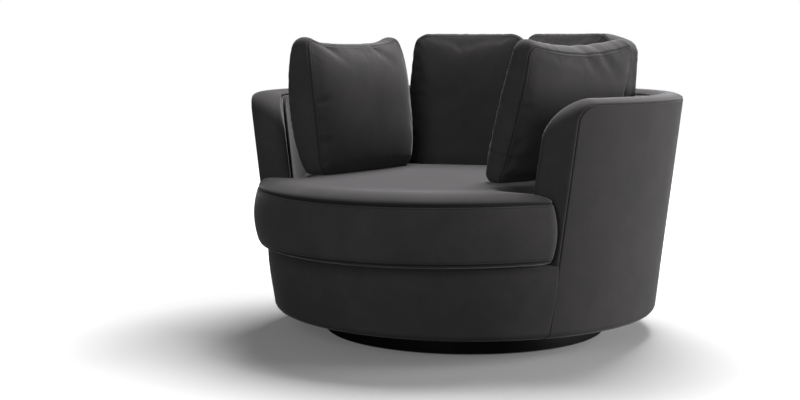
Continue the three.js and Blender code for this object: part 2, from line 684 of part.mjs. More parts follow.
// A boxed cushion lying on its lower panel: two crowned panels joined by a swelling boxing.
function boxedCushion({ outline, middle, low, high, under, over, swell, panelShares, boxingShares, adjust }) {
  const rings = [];
  const scaled = (share) => outline.map((p) => new THREE.Vector2().lerpVectors(middle, p, share));
  const pushed = (distance) => outline.map((p, i) => {
    const before = outline[(i + outline.length - 1) % outline.length];
    const after = outline[(i + 1) % outline.length];
    const normal = new THREE.Vector2(after.y - before.y, before.x - after.x).normalize();
    return p.clone().addScaledVector(normal, distance);
  });
  const ring = (points, height) => rings.push(points.map((p) => new THREE.Vector3(p.x, p.y, height(p))));
  panelShares.forEach((share) => ring(scaled(share), (p) => low - under(p)));
  ring(outline, () => low);
  boxingShares.forEach((share) => ring(pushed(swell * Math.sin(Math.PI * share)),
    () => THREE.MathUtils.lerp(low, high, share)));
  ring(outline, () => high);
  [...panelShares].reverse().forEach((share) => ring(scaled(share), (p) => high + over(p)));

  const size = outline.length;
  const points = [...rings.flat(), new THREE.Vector3(middle.x, middle.y, low - under(middle)),
    new THREE.Vector3(middle.x, middle.y, high + over(middle))];
  const [lowTip, highTip] = [rings.length * size, rings.length * size + 1];
  const last = (rings.length - 1) * size;
  const index = [];
  for (let k = 0; k < size; k += 1) {
    const next = (k + 1) % size;
    for (let i = 0; i < rings.length - 1; i += 1) {
      const [a, b] = [i * size + k, i * size + next];
      index.push(a, b, b + size, a, b + size, a + size);
    }
    index.push(next, k, lowTip, last + k, last + next, highTip);
  }
  const geometry = new THREE.BufferGeometry();
  const vertices = points.flatMap((p) => adjust(p).toArray());
  geometry.setAttribute('position', new THREE.Float32BufferAttribute(vertices, 3));
  geometry.setIndex(index);
  return toSolid(geometry);
}

// A rounded rectangle standing on the X axis, whose sides pull in between the corners.
function pillowOutline(width, height, corner, pull, sideSteps) {
  const points = [];
  const cornerSteps = 2;
  const corners = [[1, corner], [1, height - corner], [-1, height - corner], [-1, corner]];
  const onCorner = (i, turn) => new THREE.Vector2(corners[i][0] * (width / 2 - corner) + corner * Math.cos(turn),
    corners[i][1] + corner * Math.sin(turn));
  for (let side = 0; side < corners.length; side += 1) {
    const turn = side * Math.PI / 2;
    for (let i = 0; i < cornerSteps; i += 1) {
      points.push(onCorner(side, turn - Math.PI / 2 * (1 - i / cornerSteps)));
    }
    const start = onCorner(side, turn);
    const end = onCorner((side + 1) % corners.length, turn);
    const inward = new THREE.Vector2(-Math.cos(turn), -Math.sin(turn));
    for (let i = 0; i < sideSteps; i += 1) {
      const share = i / sideSteps;
      points.push(start.clone().lerp(end, share).addScaledVector(inward, pull * (1 - (2 * share - 1) ** 2)));
    }
  }
  return points;
}

// The cover, the zip in its slot, and the core inside, from a cushion's outer form and its hollow.
function dressCushion(name, form, hollow, core, slot) {
  const group = new THREE.Group();
  const wall = cut(form, hollow);
  group.add(piece(`${name}_cover`, fabric, cut(wall, slot(0))));
  group.add(piece(`${name}_core`, foam, core));
  group.add(piece(`${name}_zip`, zipTape, wall.intersect(slot(-fitGap))));
  return group;
}

const seatSeamLow = deckHeight + fitGap + seatUnderSwell;
const seatSeamHigh = seatSeamLow + seatBoxing;
const seatTop = seatSeamHigh + seatCrown;
const seatRearTop = seatSeamHigh + seatRearCrown;

// Where a standing cushion rests: the foot of its front face's inner end, and its own directions.
function cushionFrame(foot, along, up) {
  return { foot, along, up, out: new THREE.Vector3().crossVectors(along, up).normalize() };
}

// The back cushions turn towards each other and lean back, with their inner edges upright side by side.
function backFrame(side) {
  const yaw = THREE.MathUtils.degToRad(backYawDegrees);
  const lean = THREE.MathUtils.degToRad(backLeanDegrees);
  const rearward = new THREE.Vector3(side * Math.sin(yaw), Math.cos(yaw), 0);
  const outwards = new THREE.Vector3(side * Math.cos(yaw), -Math.sin(yaw), 0);
  const slope = new THREE.Vector3(0, 0, Math.cos(lean)).addScaledVector(rearward, Math.sin(lean));
  const up = slope.addScaledVector(outwards, -slope.x / outwards.x);
  const floorLevel = seatRearTop + fitGap;
  const deep = new THREE.Vector3(0, 0, -Math.sin(lean)).addScaledVector(rearward, Math.cos(lean));
  const farCorner = new THREE.Vector3(side * backMeetingGap / 2, 0, floorLevel)
    .addScaledVector(outwards, backWidth).addScaledVector(deep, backThickness);
  farCorner.addScaledVector(up, (liningTop - farCorner.z) / up.z);
  const reach = liningRadius(liningTop) - backWallClearance;
  const foot = new THREE.Vector3(side * backMeetingGap / 2, acrossAt(reach, farCorner.x) - farCorner.y, floorLevel);
  return { ...cushionFrame(foot, outwards.clone().multiplyScalar(side), up), outwards, rearward };
}

// How far a point on the seat lies behind the front faces of the back cushions.
function behindBacks(x, y) {
  const { foot, rearward } = backFrame(x < 0 ? -1 : 1);
  return (x - foot.x) * rearward.x + (y - foot.y) * rearward.y;
}

// The seat's seam line: an elliptical front, two ears ahead of the arms, and a round rear inside the tub.
function seatOutline(inset, coarse) {
  const rearRadius = liningRadius(deckHeight) - seatWallClearance - seatSideSwell - inset;
  const earBack = armFrontReach + rimCrown + seatEarClearance + seatSideSwell + inset;
  const earTip = acrossAt(outerRadius(seatSeamHigh), armFrontReach) - seatEarInset - inset;
  const front = seatFrontReach - inset;
  const across = earTip / Math.sqrt(1 - (earBack / front) ** 2);
  const tipTurn = Math.acos(earBack / front);
  const frontSteps = coarse ? 8 : 20;
  const points = Array.from({ length: frontSteps + 1 }, (_, i) => {
    const turn = -tipTurn + 2 * tipTurn * i / frontSteps;
    return new THREE.Vector2(across * Math.sin(turn), -front * Math.cos(turn));
  });
  const neck = acrossAt(rearRadius, armFrontReach);
  const startTurn = -Math.asin(armFrontReach / rearRadius);
  const rearSteps = coarse ? 10 : 26;
  points.push(new THREE.Vector2(neck, -earBack));
  for (let i = 0; i <= rearSteps; i += 1) {
    const turn = startTurn + (Math.PI - 2 * startTurn) * i / rearSteps;
    points.push(new THREE.Vector2(rearRadius * Math.cos(turn), rearRadius * Math.sin(turn)));
  }
  points.push(new THREE.Vector2(-neck, -earBack));
  return points;
}

function seatForm(inset, coarse) {
  const outline = seatOutline(inset, coarse);
  const middle = new THREE.Vector2(0, -armFrontReach - seatCrownRun);
  const over = (p) => {
    const pressed = THREE.MathUtils.smoothstep(behindBacks(p.x, p.y), -seatPressLead - seatPressRun, -seatPressLead);
    const crown = THREE.MathUtils.lerp(seatCrown, seatRearCrown, pressed) - inset;
    return Math.max(crown, 0) * crownShare(distanceToOutline(outline, p.x, p.y), seatCrownRun);
  };
  const under = (p) => Math.max(seatUnderSwell - inset, 0)
    * crownShare(distanceToOutline(outline, p.x, p.y), seatUnderSwell * 3);
  const earBack = -(armFrontReach + rimCrown);
  const followWall = (p) => {
    const rearShare = THREE.MathUtils.smoothstep(p.y, earBack, -armFrontReach);
    const growth = 1 + rearShare * wallFlare * (p.z - seatSeamLow) / liningRadius(deckHeight);
    return new THREE.Vector3(p.x * growth, p.y > 0 ? p.y * growth : p.y, p.z);
  };
  return boxedCushion({
    outline, middle, over, under, adjust: followWall,
    low: seatSeamLow + inset, high: seatSeamHigh - inset,
    swell: coarse ? 0 : seatSideSwell,
    panelShares: coarse ? [0.6] : [0.3, 0.62, 0.82, 0.94],
    boxingShares: coarse ? [] : [0.25, 0.5, 0.78],
  });
}

function makeSeatCushion() {
  const pressed = [-1, 1].map((side) => {
    const { foot, rearward } = backFrame(side);
    const size = 2 * wallRadius;
    const middle = foot.clone().addScaledVector(rearward, size / 2 - seatPressLead);
    const geometry = new THREE.BoxGeometry(2 * size, size, size);
    geometry.rotateZ(-side * THREE.MathUtils.degToRad(backYawDegrees));
    geometry.translate(middle.x, middle.y, seatRearTop + size / 2);
    return toSolid(geometry);
  });
  const rear = liningRadius(deckHeight);
  const slot = (grow) => blockSolid(zipLength + 2 * grow, coreInset * 6, zipHeight + 2 * grow,
    0, rear, (seatSeamLow + seatSeamHigh) / 2);
  return dressCushion('seat', cut(seatForm(0, false), ...pressed), seatForm(coreInset + fitGap, true),
    seatForm(coreInset + fitGap * 2, true), slot);
}

// A cushion standing on its lower side, which is pressed flat on the seat at floorLevel.
function standingCushion(name, frame, sizes, floorLevel, zipSide) {
  const { width, height, thickness, corner, pull, swell, frontCrown, rearCrown } = sizes;
  const placed = new THREE.Matrix4().makeBasis(frame.along, frame.up, frame.out)
    .setPosition(frame.foot.clone().addScaledVector(frame.up, -pillowSink));
  const floorBlock = (level) => blockSolid(4 * wallRadius, 4 * wallRadius, height, 0, 0, level - height / 2);
  const form = (inset, coarse) => {
    const outline = pillowOutline(width - 2 * inset, height - 2 * inset, corner, pull, coarse ? 2 : 5)
      .map((p) => new THREE.Vector2(p.x, p.y + inset));
    const middle = new THREE.Vector2(0, height / 2);
    const run = Math.min(width, height) * crownRunShare;
    const rise = (crown) => (p) => Math.max(crown - inset, 0)
      * crownShare(distanceToOutline(outline, p.x, p.y), run);
    const halfBoxing = Math.max(thickness / 2 - inset, thickness / 5);
    return boxedCushion({
      outline, middle, low: -halfBoxing, high: halfBoxing, under: rise(rearCrown), over: rise(frontCrown),
      swell: coarse ? 0 : swell, panelShares: coarse ? [0.55] : [0.34, 0.66, 0.88],
      boxingShares: coarse ? [] : [0.5], adjust: (p) => p.applyMatrix4(placed),
    });
  };
  const slotBase = pillowSink + coreInset * 2;
  const slot = (grow) => toSolid(new THREE.BoxGeometry(coreInset * 4, zipLength + 2 * grow, zipHeight + 2 * grow)
    .translate(zipSide * width / 2, slotBase + zipLength / 2, 0).applyMatrix4(placed));
  return dressCushion(name,
    cut(form(0, false), floorBlock(floorLevel)),
    cut(form(coreInset + fitGap, true), floorBlock(floorLevel + coreInset)),
    cut(form(coreInset + fitGap * 2, true), floorBlock(floorLevel + coreInset + fitGap)), slot);
}

function makeBackCushion(name, side) {
  const frame = backFrame(side);
  const sizes = {
    width: backWidth, height: backHeight + pillowSink, thickness: backThickness, corner: backCorner,
    pull: backSidePull, swell: backSideSwell, frontCrown: backCrown, rearCrown: backRearCrown,
  };
  const floorLevel = frame.foot.z;
  frame.foot.addScaledVector(frame.outwards, backWidth / 2).addScaledVector(frame.out, -backThickness / 2);
  return standingCushion(name, frame, sizes, floorLevel, side);
}

// The scatter cushions stand by the back cushions' front corners and lean out against the arms.
function makeScatterCushion(name, side, yawDegrees, leanDegrees, outset, lead) {
  const yaw = THREE.MathUtils.degToRad(yawDegrees);
  const lean = THREE.MathUtils.degToRad(leanDegrees);
  const along = new THREE.Vector3(Math.cos(yaw), Math.sin(yaw), 0);
  const outward = new THREE.Vector3(side * Math.sin(yaw), -side * Math.cos(yaw), 0);
  const up = new THREE.Vector3(0, 0, Math.cos(lean)).addScaledVector(outward, Math.sin(lean));
  const floorLevel = seatTop + fitGap;
  const back = backFrame(side);
  const corner = back.foot.clone().addScaledVector(back.outwards, backWidth);
  const frame = cushionFrame(new THREE.Vector3(corner.x + side * outset, corner.y - lead, floorLevel), along, up);
  frame.foot.addScaledVector(along, -scatterWidth / 2).addScaledVector(frame.out, -side * scatterThickness / 2);
  return standingCushion(name, frame, {
    width: scatterWidth, height: scatterHeight + pillowSink, thickness: scatterThickness,
    corner: scatterCorner, pull: scatterSidePull, swell: scatterSideSwell,
    frontCrown: scatterCrown, rearCrown: scatterCrown,
  }, floorLevel, 1);
}

// The whole chair

const chair = new THREE.Group();
chair.add(makePlinth(), makeTurningPlate(), makeFrame(), makeDeck(), makeTubCovers(), makeBorder());
chair.add(makeSeatCushion());
chair.add(makeBackCushion('back_left', -1), makeBackCushion('back_right', 1));
chair.add(makeScatterCushion('scatter_left', -1, leftScatterYawDegrees, leftScatterLeanDegrees,
  leftScatterOutset, leftScatterLead));
chair.add(makeScatterCushion('scatter_right', 1, rightScatterYawDegrees, rightScatterLeanDegrees,
  rightScatterOutset, rightScatterLead));

export default chair;
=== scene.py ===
"""The looks of a swivel cuddle chair: a round upholstered tub on a turning plinth, with loose cushions.

Metres. The floor is z = 0, the chair faces -Y, and it turns about the Z axis.
"""

from __future__ import annotations

import json
import logging
import math
from dataclasses import dataclass, field
from enum import Enum
from functools import cached_property
from typing import Any, Callable, Sequence

import bmesh
import bpy
import numpy as np
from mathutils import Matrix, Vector
from mathutils.bvhtree import BVHTree
from mathutils.kdtree import KDTree

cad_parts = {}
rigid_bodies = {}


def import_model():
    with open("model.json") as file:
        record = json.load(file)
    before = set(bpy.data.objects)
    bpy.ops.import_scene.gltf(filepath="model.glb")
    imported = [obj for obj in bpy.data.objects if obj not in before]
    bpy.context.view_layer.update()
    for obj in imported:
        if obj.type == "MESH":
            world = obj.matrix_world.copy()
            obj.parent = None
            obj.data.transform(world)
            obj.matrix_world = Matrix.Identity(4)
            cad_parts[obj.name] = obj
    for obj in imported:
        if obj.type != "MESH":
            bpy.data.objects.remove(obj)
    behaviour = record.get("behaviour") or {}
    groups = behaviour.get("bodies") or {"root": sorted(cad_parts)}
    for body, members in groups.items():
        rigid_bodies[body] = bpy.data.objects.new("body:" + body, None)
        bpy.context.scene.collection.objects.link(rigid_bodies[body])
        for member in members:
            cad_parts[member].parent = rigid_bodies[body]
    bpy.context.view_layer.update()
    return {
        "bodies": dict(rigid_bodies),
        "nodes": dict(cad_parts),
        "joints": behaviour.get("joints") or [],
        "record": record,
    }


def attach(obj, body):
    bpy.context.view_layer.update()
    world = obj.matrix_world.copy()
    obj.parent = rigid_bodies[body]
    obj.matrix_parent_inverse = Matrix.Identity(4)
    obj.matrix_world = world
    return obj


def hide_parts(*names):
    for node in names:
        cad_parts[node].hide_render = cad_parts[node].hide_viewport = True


logging.basicConfig(level=logging.INFO, format="%(message)s")
log = logging.getLogger("cuddle_chair")

Array = np.ndarray
Row = tuple[float, float, float, float]


class Body(str, Enum):
    """The chair's moving bodies."""

    BASE = "base"
    TUB = "tub"
    SEAT = "seat_cushion"
    BACK_LEFT = "back_left_cushion"
    BACK_RIGHT = "back_right_cushion"
    SCATTER_LEFT = "scatter_left_cushion"
    SCATTER_RIGHT = "scatter_right_cushion"


class Slot(str, Enum):
    """The finishes that the chair's record names."""

    FABRIC = "upholstery_fabric"
    CLOTH = "black_cloth"
    LACQUER = "black_lacquer"
    PLYWOOD = "plywood"
    FOAM = "foam"
    FELT = "felt"
    STEEL = "zinc_steel"
    NYLON = "nylon"
    ZIP = "zip_tape"


# Finishes

WAVE_HALF = 0.16  # Width of one band in a wave texture of scale 1


def linear(colour: str) -> tuple[float, float, float, float]:
    """Turns an sRGB hex colour into a linear one.

    Args:
        colour: Six hex digits.

    Returns:
        Red, green, blue and an alpha of 1.
    """
    shares = [int(colour[i:i + 2], 16) / 255 for i in (0, 2, 4)]
    red, green, blue = [s / 12.92 if s <= 0.04045 else ((s + 0.055) / 1.055) ** 2.4 for s in shares]
    return red, green, blue, 1.0


class NodeSheet:
    """The nodes of one material, or of the world."""

    def __init__(self, owner: Any, shader: str = "Principled BSDF") -> None:
        """Starts with a plain shader.

        Args:
            owner: What the nodes belong to.
            shader: The name of its shader.
        """
        owner.use_nodes = True
        self.owner = owner
        self.tree = owner.node_tree
        self.shader = self.tree.nodes[shader]

    @classmethod
    def material(cls, name: str) -> NodeSheet:
        """Starts a new material."""
        return cls(bpy.data.materials.new(name))

    @cached_property
    def place(self) -> Any:
        """Where a point lies in its piece's own coordinates."""
        return self.add("ShaderNodeTexCoord").outputs["Object"]

    def add(self, kind: str, settings: dict[str, Any] | None = None,
            links: dict[str, Any] | None = None) -> Any:
        """Adds a node with its settings and links.

        Args:
            kind: The node's type.
            settings: Values for the node's properties, or for its sockets by name.
            links: Output sockets to join to its inputs, by the inputs' names.

        Returns:
            The new node.
        """
        node = self.tree.nodes.new(kind)
        for name, value in (settings or {}).items():
            if hasattr(node, name):
                setattr(node, name, value)
            else:
                node.inputs[name].default_value = value
        for name, socket in (links or {}).items():
            self.tree.links.new(socket, node.inputs[name])
        return node

    def join(self, socket: Any, name: str) -> None:
        """Joins an output to one of the shader's inputs."""
        self.tree.links.new(socket, self.shader.inputs[name])

    def set(self, **values: Any) -> None:
        """Sets the shader's own inputs, named with underscores for spaces."""
        for name, value in values.items():
            self.shader.inputs[name.replace("_", " ")].default_value = value

    def texture(self, kind: str, output: str = "Fac", place: Any = None, **settings: Any) -> Any:
        """Adds a texture.

        Args:
            kind: The texture's type.
            output: Which of its outputs is used.
            place: The coordinates that it reads, if not the piece's own.
            settings: Its values.

        Returns:
            The output.
        """
        place = self.place if place is None else place
        return self.add(f"ShaderNodeTex{kind}", settings, {"Vector": place}).outputs[output]

    def stretch(self, x: float, y: float, z: float) -> Any:
        """Scales the piece's own coordinates along each axis."""
        return self.add("ShaderNodeMapping", {"Scale": (x, y, z)}, {"Vector": self.place}).outputs["Vector"]

    def reckon(self, operation: str, first: Any, second: Any) -> Any:
        """Works out a value from two others."""
        node = self.add("ShaderNodeMath", {"operation": operation})
        for socket, entry in zip((first, second), node.inputs):
            self.tree.links.new(socket, entry)
        return node.outputs["Value"]

    def span(self, socket: Any, low: float, high: float, start: float = 0.0, end: float = 1.0,
             shape: str = "LINEAR") -> Any:
        """Spreads one range of values over another.

        Args:
            socket: The value.
            low: What it becomes at the start of its range.
            high: What it becomes at the end.
            start: The start of its range.
            end: The end of its range.
            shape: How it goes from low to high.

        Returns:
            The result's output.
        """
        settings = {"interpolation_type": shape, "From Min": start, "From Max": end, "To Min": low,
                    "To Max": high}
        return self.add("ShaderNodeMapRange", settings, {"Value": socket}).outputs["Result"]

    def ramp(self, socket: Any, stops: Sequence[tuple[float, str]]) -> Any:
        """Turns a share into a colour.

        Args:
            socket: The share.
            stops: Places from 0 to 1 with their hex colours.

        Returns:
            The colour's output.
        """
        node = self.add("ShaderNodeValToRGB", links={"Fac": socket})
        while len(node.color_ramp.elements) < len(stops):
            node.color_ramp.elements.new(0.5)
        for element, (place, colour) in zip(node.color_ramp.elements, stops):
            element.position = place
            element.color = linear(colour)
        return node.outputs["Color"]

    def tint(self, socket: Any, *stops: tuple[float, str]) -> None:
        """Gives the shader a colour that follows a share."""
        self.join(self.ramp(socket, stops), "Base Color")

    def relief(self, height: Any, strength: float, distance: float) -> None:
        """Gives the shader a bump that follows a height."""
        bump = self.add("ShaderNodeBump", {"Strength": strength, "Distance": distance}, {"Height": height})
        self.join(bump.outputs["Normal"], "Normal")


@dataclass(frozen=True)
class BrushedMicrofibre:
    """Charcoal brushed fabric: matt, with a soft nap that lightens it where it turns away."""

    name: str = "charcoal_brushed_microfibre"
    shade: str = "3f3d3e"
    dark_shade: str = "3b3a3b"
    light_shade: str = "434142"
    # Colour painted into the seams' grooves as their shadow.
    painted_seam_shadow: str = "1d1d1e"
    sheen_shade: str = "b9b8bb"
    patch_size: float = 0.09
    fibre_size: float = 0.0012

    def make(self) -> bpy.types.Material:
        """Builds the fabric: patches of brushed nap, fine fibres, and a painted shadow line in each seam.
        """
        sheet = NodeSheet.material(self.name)
        patches = sheet.texture("Noise", Scale=1 / self.patch_size, Detail=4.0, Roughness=0.6,
                                Distortion=0.4)
        nap = sheet.ramp(patches, [(0.3, self.dark_shade), (0.5, self.shade), (0.72, self.light_shade)])
        fibres = sheet.texture("Noise", place=sheet.stretch(1.0, 1.0, 0.35), Scale=1 / self.fibre_size,
                               Detail=3.0, Roughness=0.7)
        flecks = sheet.span(fibres, 0.9, 1.1, 0.3, 0.7)
        flecked = sheet.add("ShaderNodeVectorMath", {"operation": "SCALE"},
                            {"Vector": nap, "Scale": flecks})
        # The seam attribute says where seam shadow is painted; the mix darkens the fabric there.
        seam = sheet.add("ShaderNodeAttribute", {"attribute_name": "seam"})
        seam_shadowed = sheet.add("ShaderNodeMix", {"data_type": "RGBA", "B": linear(self.painted_seam_shadow)},
                          {"Factor": seam.outputs["Fac"], "A": flecked.outputs["Vector"]})
        sheet.join(seam_shadowed.outputs["Result"], "Base Color")
        sheet.join(sheet.span(patches, 0.82, 0.98), "Roughness")
        sheet.relief(fibres, 0.25, 0.0006)
        sheet.set(IOR=1.45, Specular_IOR_Level=0.2, Sheen_Weight=0.5, Sheen_Roughness=0.3,
                  Sheen_Tint=linear(self.sheen_shade))
        return sheet.owner


@dataclass(frozen=True)
class WovenCloth:
    """Thin black lining cloth, plainly woven."""

    name: str = "black_lining_cloth"
    thread: float = 0.0014

    def make(self) -> bpy.types.Material:
        """Builds the cloth from two crossing bands of threads."""
        sheet = NodeSheet.material(self.name)
        warp, weft = [sheet.texture("Wave", bands_direction=way, Scale=WAVE_HALF / self.thread)
                      for way in "XY"]
        crossed = sheet.reckon("MULTIPLY", warp, weft)
        sheet.tint(crossed, (0.1, "17171a"), (0.8, "262629"))
        sheet.relief(crossed, 0.35, 0.0004)
        sheet.set(Roughness=0.92, IOR=1.45, Specular_IOR_Level=0.2)
        return sheet.owner


@dataclass(frozen=True)
class SatinLacquer:
    """Black satin lacquer over turned board: a low sheen with a faint orange-peel."""

    name: str = "black_satin_lacquer"
    roughness: float = 0.46

    def make(self) -> bpy.types.Material:
        """Builds the lacquer with its slight unevenness."""
        sheet = NodeSheet.material(self.name)
        cloud = sheet.texture("Noise", Scale=14.0, Detail=5.0)
        sheet.tint(cloud, (0.35, "0b0b0c"), (0.8, "121212"))
        sheet.join(sheet.span(cloud, self.roughness - 0.06, self.roughness + 0.1), "Roughness")
        sheet.relief(sheet.texture("Noise", Scale=420.0, Detail=2.0), 0.12, 0.0004)
        sheet.set(IOR=1.5, Specular_IOR_Level=0.12)
        return sheet.owner


@dataclass(frozen=True)
class Plywood:
    """Birch plywood with its layers and long grain."""

    name: str = "birch_plywood"
    layer: float = 0.0028

    def make(self) -> bpy.types.Material:
        """Builds the wood from layers by height and a stretched grain."""
        sheet = NodeSheet.material(self.name)
        grain = sheet.texture("Noise", place=sheet.stretch(3.0, 60.0, 60.0), Scale=1.6, Detail=6.0,
                              Distortion=0.8)
        layers = sheet.texture("Wave", bands_direction="Z", Scale=WAVE_HALF / self.layer, Distortion=0.4)
        sheet.tint(sheet.reckon("MULTIPLY", grain, layers), (0.1, "8a6238"), (0.35, "b48a58"),
                   (0.7, "cfab7c"))
        sheet.relief(grain, 0.2, 0.0005)
        sheet.set(Roughness=0.7, IOR=1.5)
        return sheet.owner


@dataclass(frozen=True)
class OpenCellFoam:
    """Cream upholstery foam with small open cells."""

    name: str = "cream_open_cell_foam"
    cell: float = 0.0016

    def make(self) -> bpy.types.Material:
        """Builds the foam from cells a little darker at their hearts."""
        sheet = NodeSheet.material(self.name)
        cells = sheet.texture("Voronoi", "Distance", Scale=1 / self.cell)
        sheet.tint(cells, (0.0, "cdc3a2"), (0.6, "e8e1c8"))
        sheet.relief(cells, 0.5, 0.0008)
        sheet.set(Roughness=0.95, IOR=1.4, Specular_IOR_Level=0.15)
        return sheet.owner


@dataclass(frozen=True)
class NeedledFelt:
    """Grey needled felt with short loose fibres."""

    name: str = "grey_needled_felt"

    def make(self) -> bpy.types.Material:
        """Builds the felt from fine tangled fibres over soft clouds."""
        sheet = NodeSheet.material(self.name)
        fibres = sheet.texture("Noise", Scale=380.0, Detail=5.0, Distortion=2.4)
        sheet.tint(fibres, (0.3, "565654"), (0.5, "6d6d6a"), (0.75, "8b8b87"))
        sheet.relief(fibres, 0.5, 0.001)
        sheet.set(Roughness=0.96, IOR=1.4, Specular_IOR_Level=0.15, Sheen_Weight=0.25, Sheen_Roughness=0.5)
        return sheet.owner


@dataclass(frozen=True)
class ZincSteel:
    """Zinc-plated steel: bright, a little clouded, with fine rolling marks."""

    name: str = "zinc_plated_steel"

    def make(self) -> bpy.types.Material:
        """Builds the plating with its clouds and marks."""
        sheet = NodeSheet.material(self.name)
        cloud = sheet.texture("Noise", Scale=60.0, Detail=4.0)
        sheet.tint(cloud, (0.3, "8f9396"), (0.7, "b4b8ba"))
        sheet.join(sheet.span(cloud, 0.28, 0.5), "Roughness")
        marks = sheet.texture("Noise", place=sheet.stretch(20.0, 900.0, 900.0), Scale=1.0, Detail=2.0)
        sheet.relief(marks, 0.08, 0.0002)
        sheet.set(Metallic=1.0)
        return sheet.owner


@dataclass(frozen=True)
class MouldedNylon:
    """Natural moulded nylon: milky, smooth, a little uneven."""

    name: str = "natural_moulded_nylon"

    def make(self) -> bpy.types.Material:
        """Builds the nylon with its faint flow marks."""
        sheet = NodeSheet.material(self.name)
        flow = sheet.texture("Noise", Scale=22.0, Detail=3.0, Distortion=1.2)
        sheet.tint(flow, (0.3, "d6d2c5"), (0.7, "e6e3d9"))
        sheet.relief(flow, 0.05, 0.0005)
        sheet.set(Roughness=0.42, IOR=1.53, Subsurface_Weight=0.15, Subsurface_Radius=(0.004, 0.003, 0.002))
        return sheet.owner


@dataclass(frozen=True)
class ZipTape:
    """Charcoal zip tape with a fine rib, and its row of moulded teeth."""

    name: str = "charcoal_zip_tape"
    rib: float = 0.0011

    def make(self) -> bpy.types.Material:
        """Builds the tape from ribs across its length."""
        sheet = NodeSheet.material(self.name)
        ribs = sheet.texture("Wave", bands_direction="Z", Scale=WAVE_HALF / self.rib)
        sheet.tint(ribs, (0.2, "1b1b1d"), (0.8, "343437"))
        sheet.relief(ribs, 0.4, 0.0005)
        sheet.set(Roughness=0.8, IOR=1.45)
        return sheet.owner


@dataclass
class Wardrobe:
    """Every finish, made once and given to each piece by its slot."""

    made: dict[Slot, bpy.types.Material] = field(default_factory=dict)

    def make(self) -> None:
        """Makes each slot's material."""
        finishes = {
            Slot.FABRIC: BrushedMicrofibre(), Slot.CLOTH: WovenCloth(), Slot.LACQUER: SatinLacquer(),
            Slot.PLYWOOD: Plywood(), Slot.FOAM: OpenCellFoam(), Slot.FELT: NeedledFelt(),
            Slot.STEEL: ZincSteel(), Slot.NYLON: MouldedNylon(), Slot.ZIP: ZipTape(),
        }
        self.made = {slot: finish.make() for slot, finish in finishes.items()}

    def dress(self, piece: bpy.types.Object, slot: Slot, body: Body, node: str,
              fill: float | None = None) -> None:
        """Dresses a piece, hangs it on the body it moves with, and hides the solid that it replaces.

        Args:
            piece: The piece.
            slot: Its finish.
            body: What it moves with.
            node: The solid that it replaces.
            fill: How full its padding is, where it is padded. Not used.
        """
        piece.data.materials.clear()
        piece.data.materials.append(self.made[slot])
        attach(piece, body.value)
        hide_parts(node)
        log.info("%s: %d faces", piece.name, len(piece.data.polygons))

    def dress_frame(self, frame: dict[str, Any]) -> None:
        """Gives each carried-over solid the better material of its slot.
        """
        for node in frame["nodes"].values():
            for place in node.material_slots:
                named = place.material.name if place.material else ""
                found = [slot for slot in Slot if slot.value in named]
                if found:
                    place.material = self.made[found[0]]
                else:
                    log.warning("%s has no slot of ours: %s", node.name, place.material)


# Mesh code for padded pieces


def piece_from(name: str, points: Array, faces: Sequence[Sequence[int]],
               seam: Array | None = None) -> bpy.types.Object:
    """Makes a smooth, outward-facing object from points and faces.

    Args:
        name: The piece's name.
        points: One row of x, y and z for each point, in metres.
        faces: Indices of each face's points.
        seam: How strongly each point is darkened by painted seam shadow, from 0 to 1.

    Returns:
        The new object.
    """
    mesh = bpy.data.meshes.new(name)
    mesh.from_pydata([tuple(map(float, p)) for p in points], [], [tuple(map(int, f)) for f in faces])
    # The fabric reads this attribute to paint shadow into the seams.
    if seam is not None:
        layer = mesh.attributes.new("seam", "FLOAT", "POINT")
        layer.data.foreach_set("value", np.asarray(seam, dtype=np.float32))
    work = bmesh.new()
    work.from_mesh(mesh)
    bmesh.ops.recalc_face_normals(work, faces=work.faces)
    if work.calc_volume(signed=True) < 0:
        bmesh.ops.reverse_faces(work, faces=work.faces)
    work.to_mesh(mesh)
    work.free()
    mesh.polygons.foreach_set("use_smooth", [True] * len(mesh.polygons))
    piece = bpy.data.objects.new(name, mesh)
    bpy.context.scene.collection.objects.link(piece)
    return piece


def closed_sheet(name: str, front: Array, back: Array, seam: Array | None = None) -> bpy.types.Object:
    """Joins two grids of points, row for row, into one closed skin.

    Args:
        name: The piece's name.
        front: Rows of columns of points that are seen.
        back: As many points behind them.
        seam: How strongly each front point is darkened by painted seam shadow.

    Returns:
        The skin.
    """
    rows, columns = front.shape[:2]
    size = rows * columns
    points = np.concatenate([front.reshape(-1, 3), back.reshape(-1, 3)])
    faces: list[tuple[int, ...]] = []
    for i in range(rows - 1):
        for j in range(columns - 1):
            a, b = i * columns + j, i * columns + j + 1
            faces.append((a, b, b + columns, a + columns))
            faces.append((size + a + columns, size + b + columns, size + b, size + a))
    rim = list(range(columns))
    rim += [i * columns + columns - 1 for i in range(1, rows)]
    rim += [(rows - 1) * columns + j for j in range(columns - 2, -1, -1)]
    rim += [i * columns for i in range(rows - 2, 0, -1)]
    for a, b in zip(rim, rim[1:] + rim[:1]):
        faces.append((a, size + a, size + b, b))
    marks = None
    if seam is not None:
        marks = np.concatenate([seam.reshape(-1), np.zeros(size)])
    return piece_from(name, points, faces, marks)


def smooth_step(low: float, high: float, value: Array) -> Array:
    """Rises smoothly from 0 at low to 1 at high."""
    share = np.clip((value - low) / (high - low), 0, 1)
    return share * share * (3 - 2 * share)


def roll(distance: Array, radius: float) -> Array:
    """How deep a padded panel's edge, turned at a radius, turns in at a distance from its seam."""
    near = np.clip(1 - distance / radius, 0, 1)
    return radius * (1 - np.sqrt(1 - near ** 2))


def edge_steps(radius: float) -> Array:
    """Distances from a seam that draw its rolled edge well."""
    return radius * np.array([0, 0.05, 0.16, 0.34, 0.6, 0.95, 1.5, 2.5])


